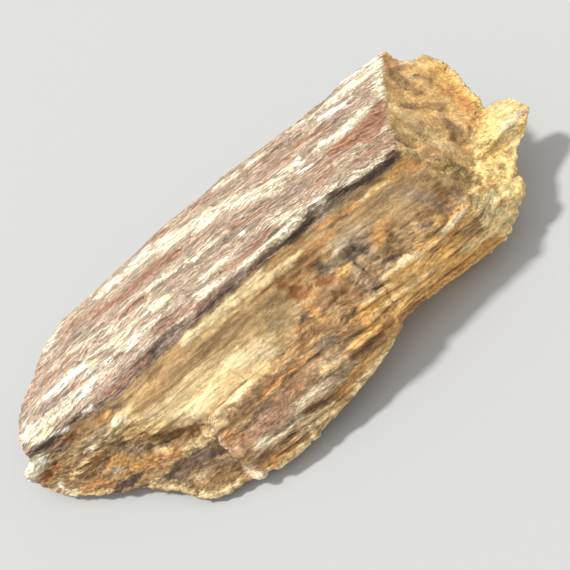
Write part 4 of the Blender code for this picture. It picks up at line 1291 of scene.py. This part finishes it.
# Painted shade in the gaps between the crumbs.
colour = mix(times(spread(crumb_gap, 0.6, 1.0), crumb_share, CRUMB_GAP_SHADE_STRENGTH), colour, shade_colour)
colour = tinted(colour, CREASE_SHADE_TINT, times(crease, step_share, CREASE_SHADE_STRENGTH))
colour = mix(times(lip_highlight, step_share, LIP_HIGHLIGHT_STRENGTH), colour, highlight_colour)
colour = mix(times(thin_crease, step_share, THIN_CREASE_SHADE_STRENGTH), colour, shade_colour)
colour = mix(times(spread(crack_share, 0.2, 0.8), CRACK_DARK), colour, CRACK_COLOUR)
link(shader, "Base Color", colour)
gloss = spread(bark_share, 0.0, 1.0, TORN_ROUGHNESS, BARK_ROUGHNESS)
link(shader, "Roughness", plus(gloss, spread(grit, 0.3, 0.7, -0.1, 0.12)))

# How high each of them stands, in mm.
height = plus(times(dash, line(vivid, 0.04, 0.32)),
              times(thread, line(vivid, 0.05, 0.35)),
              times(grit, line(crumb_share, 0.07, 0.17)),
              times(scratch, -0.1),
              times(flake_height, flake_share, 0.5),
              times(speck, rough_share),
              times(crumb_gap, line(crumb_share, -0.05, -0.43)),
              times(crease, step_share, -0.35),
              times(thin_crease, step_share, -0.15))
bump = tree.nodes.new("ShaderNodeBump")
bump.inputs["Strength"].default_value = 1.0
bump.inputs["Distance"].default_value = MM
tree.links.new(height, bump.inputs["Height"])
tree.links.new(bump.outputs[0], shader.inputs["Normal"])

stone.data.materials.clear()
stone.data.materials.append(finish)
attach(stone, "root")
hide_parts("petrified_wood")

# ---------------------------------------------------------------- floor and light
# The shard lies on a plain pale studio floor, under one broad lamp from behind on the left
# and an even white room.
FLOOR_SIZE = 4.0
FLOOR_COLOUR = (0.48, 0.48, 0.47, 1.0)
FLOOR_ROUGHNESS = 0.9
LAMP_FROM = Vector((-0.45, 0.40, 0.80))
LAMP_STRENGTH = 3.2
LAMP_BREADTH = math.radians(8)
ROOM_COLOUR = (0.98, 0.99, 1.0, 1.0)
ROOM_STRENGTH = 0.75
bpy.ops.object.select_all(action="DESELECT")
bpy.ops.mesh.primitive_plane_add(size=FLOOR_SIZE, location=(0, 0, 0))
floor = bpy.context.object
floor.name = "floor"
floor_paint = bpy.data.materials.new("floor_paint")
floor_paint.use_nodes = True
floor_shader = floor_paint.node_tree.nodes["Principled BSDF"]
floor_shader.inputs["Base Color"].default_value = FLOOR_COLOUR
floor_shader.inputs["Roughness"].default_value = FLOOR_ROUGHNESS
floor.data.materials.append(floor_paint)

lamp_data = bpy.data.lights.new("key", "SUN")
lamp_data.energy = LAMP_STRENGTH
lamp_data.angle = LAMP_BREADTH
lamp = bpy.data.objects.new("key", lamp_data)
lamp.rotation_euler = LAMP_FROM.to_track_quat("Z", "Y").to_euler()
bpy.context.collection.objects.link(lamp)
room = bpy.data.worlds.new("studio")
room.use_nodes = True
room.node_tree.nodes["Background"].inputs["Color"].default_value = ROOM_COLOUR
room.node_tree.nodes["Background"].inputs["Strength"].default_value = ROOM_STRENGTH
bpy.context.scene.world = room
bpy.context.scene.view_settings.view_transform = "Standard"
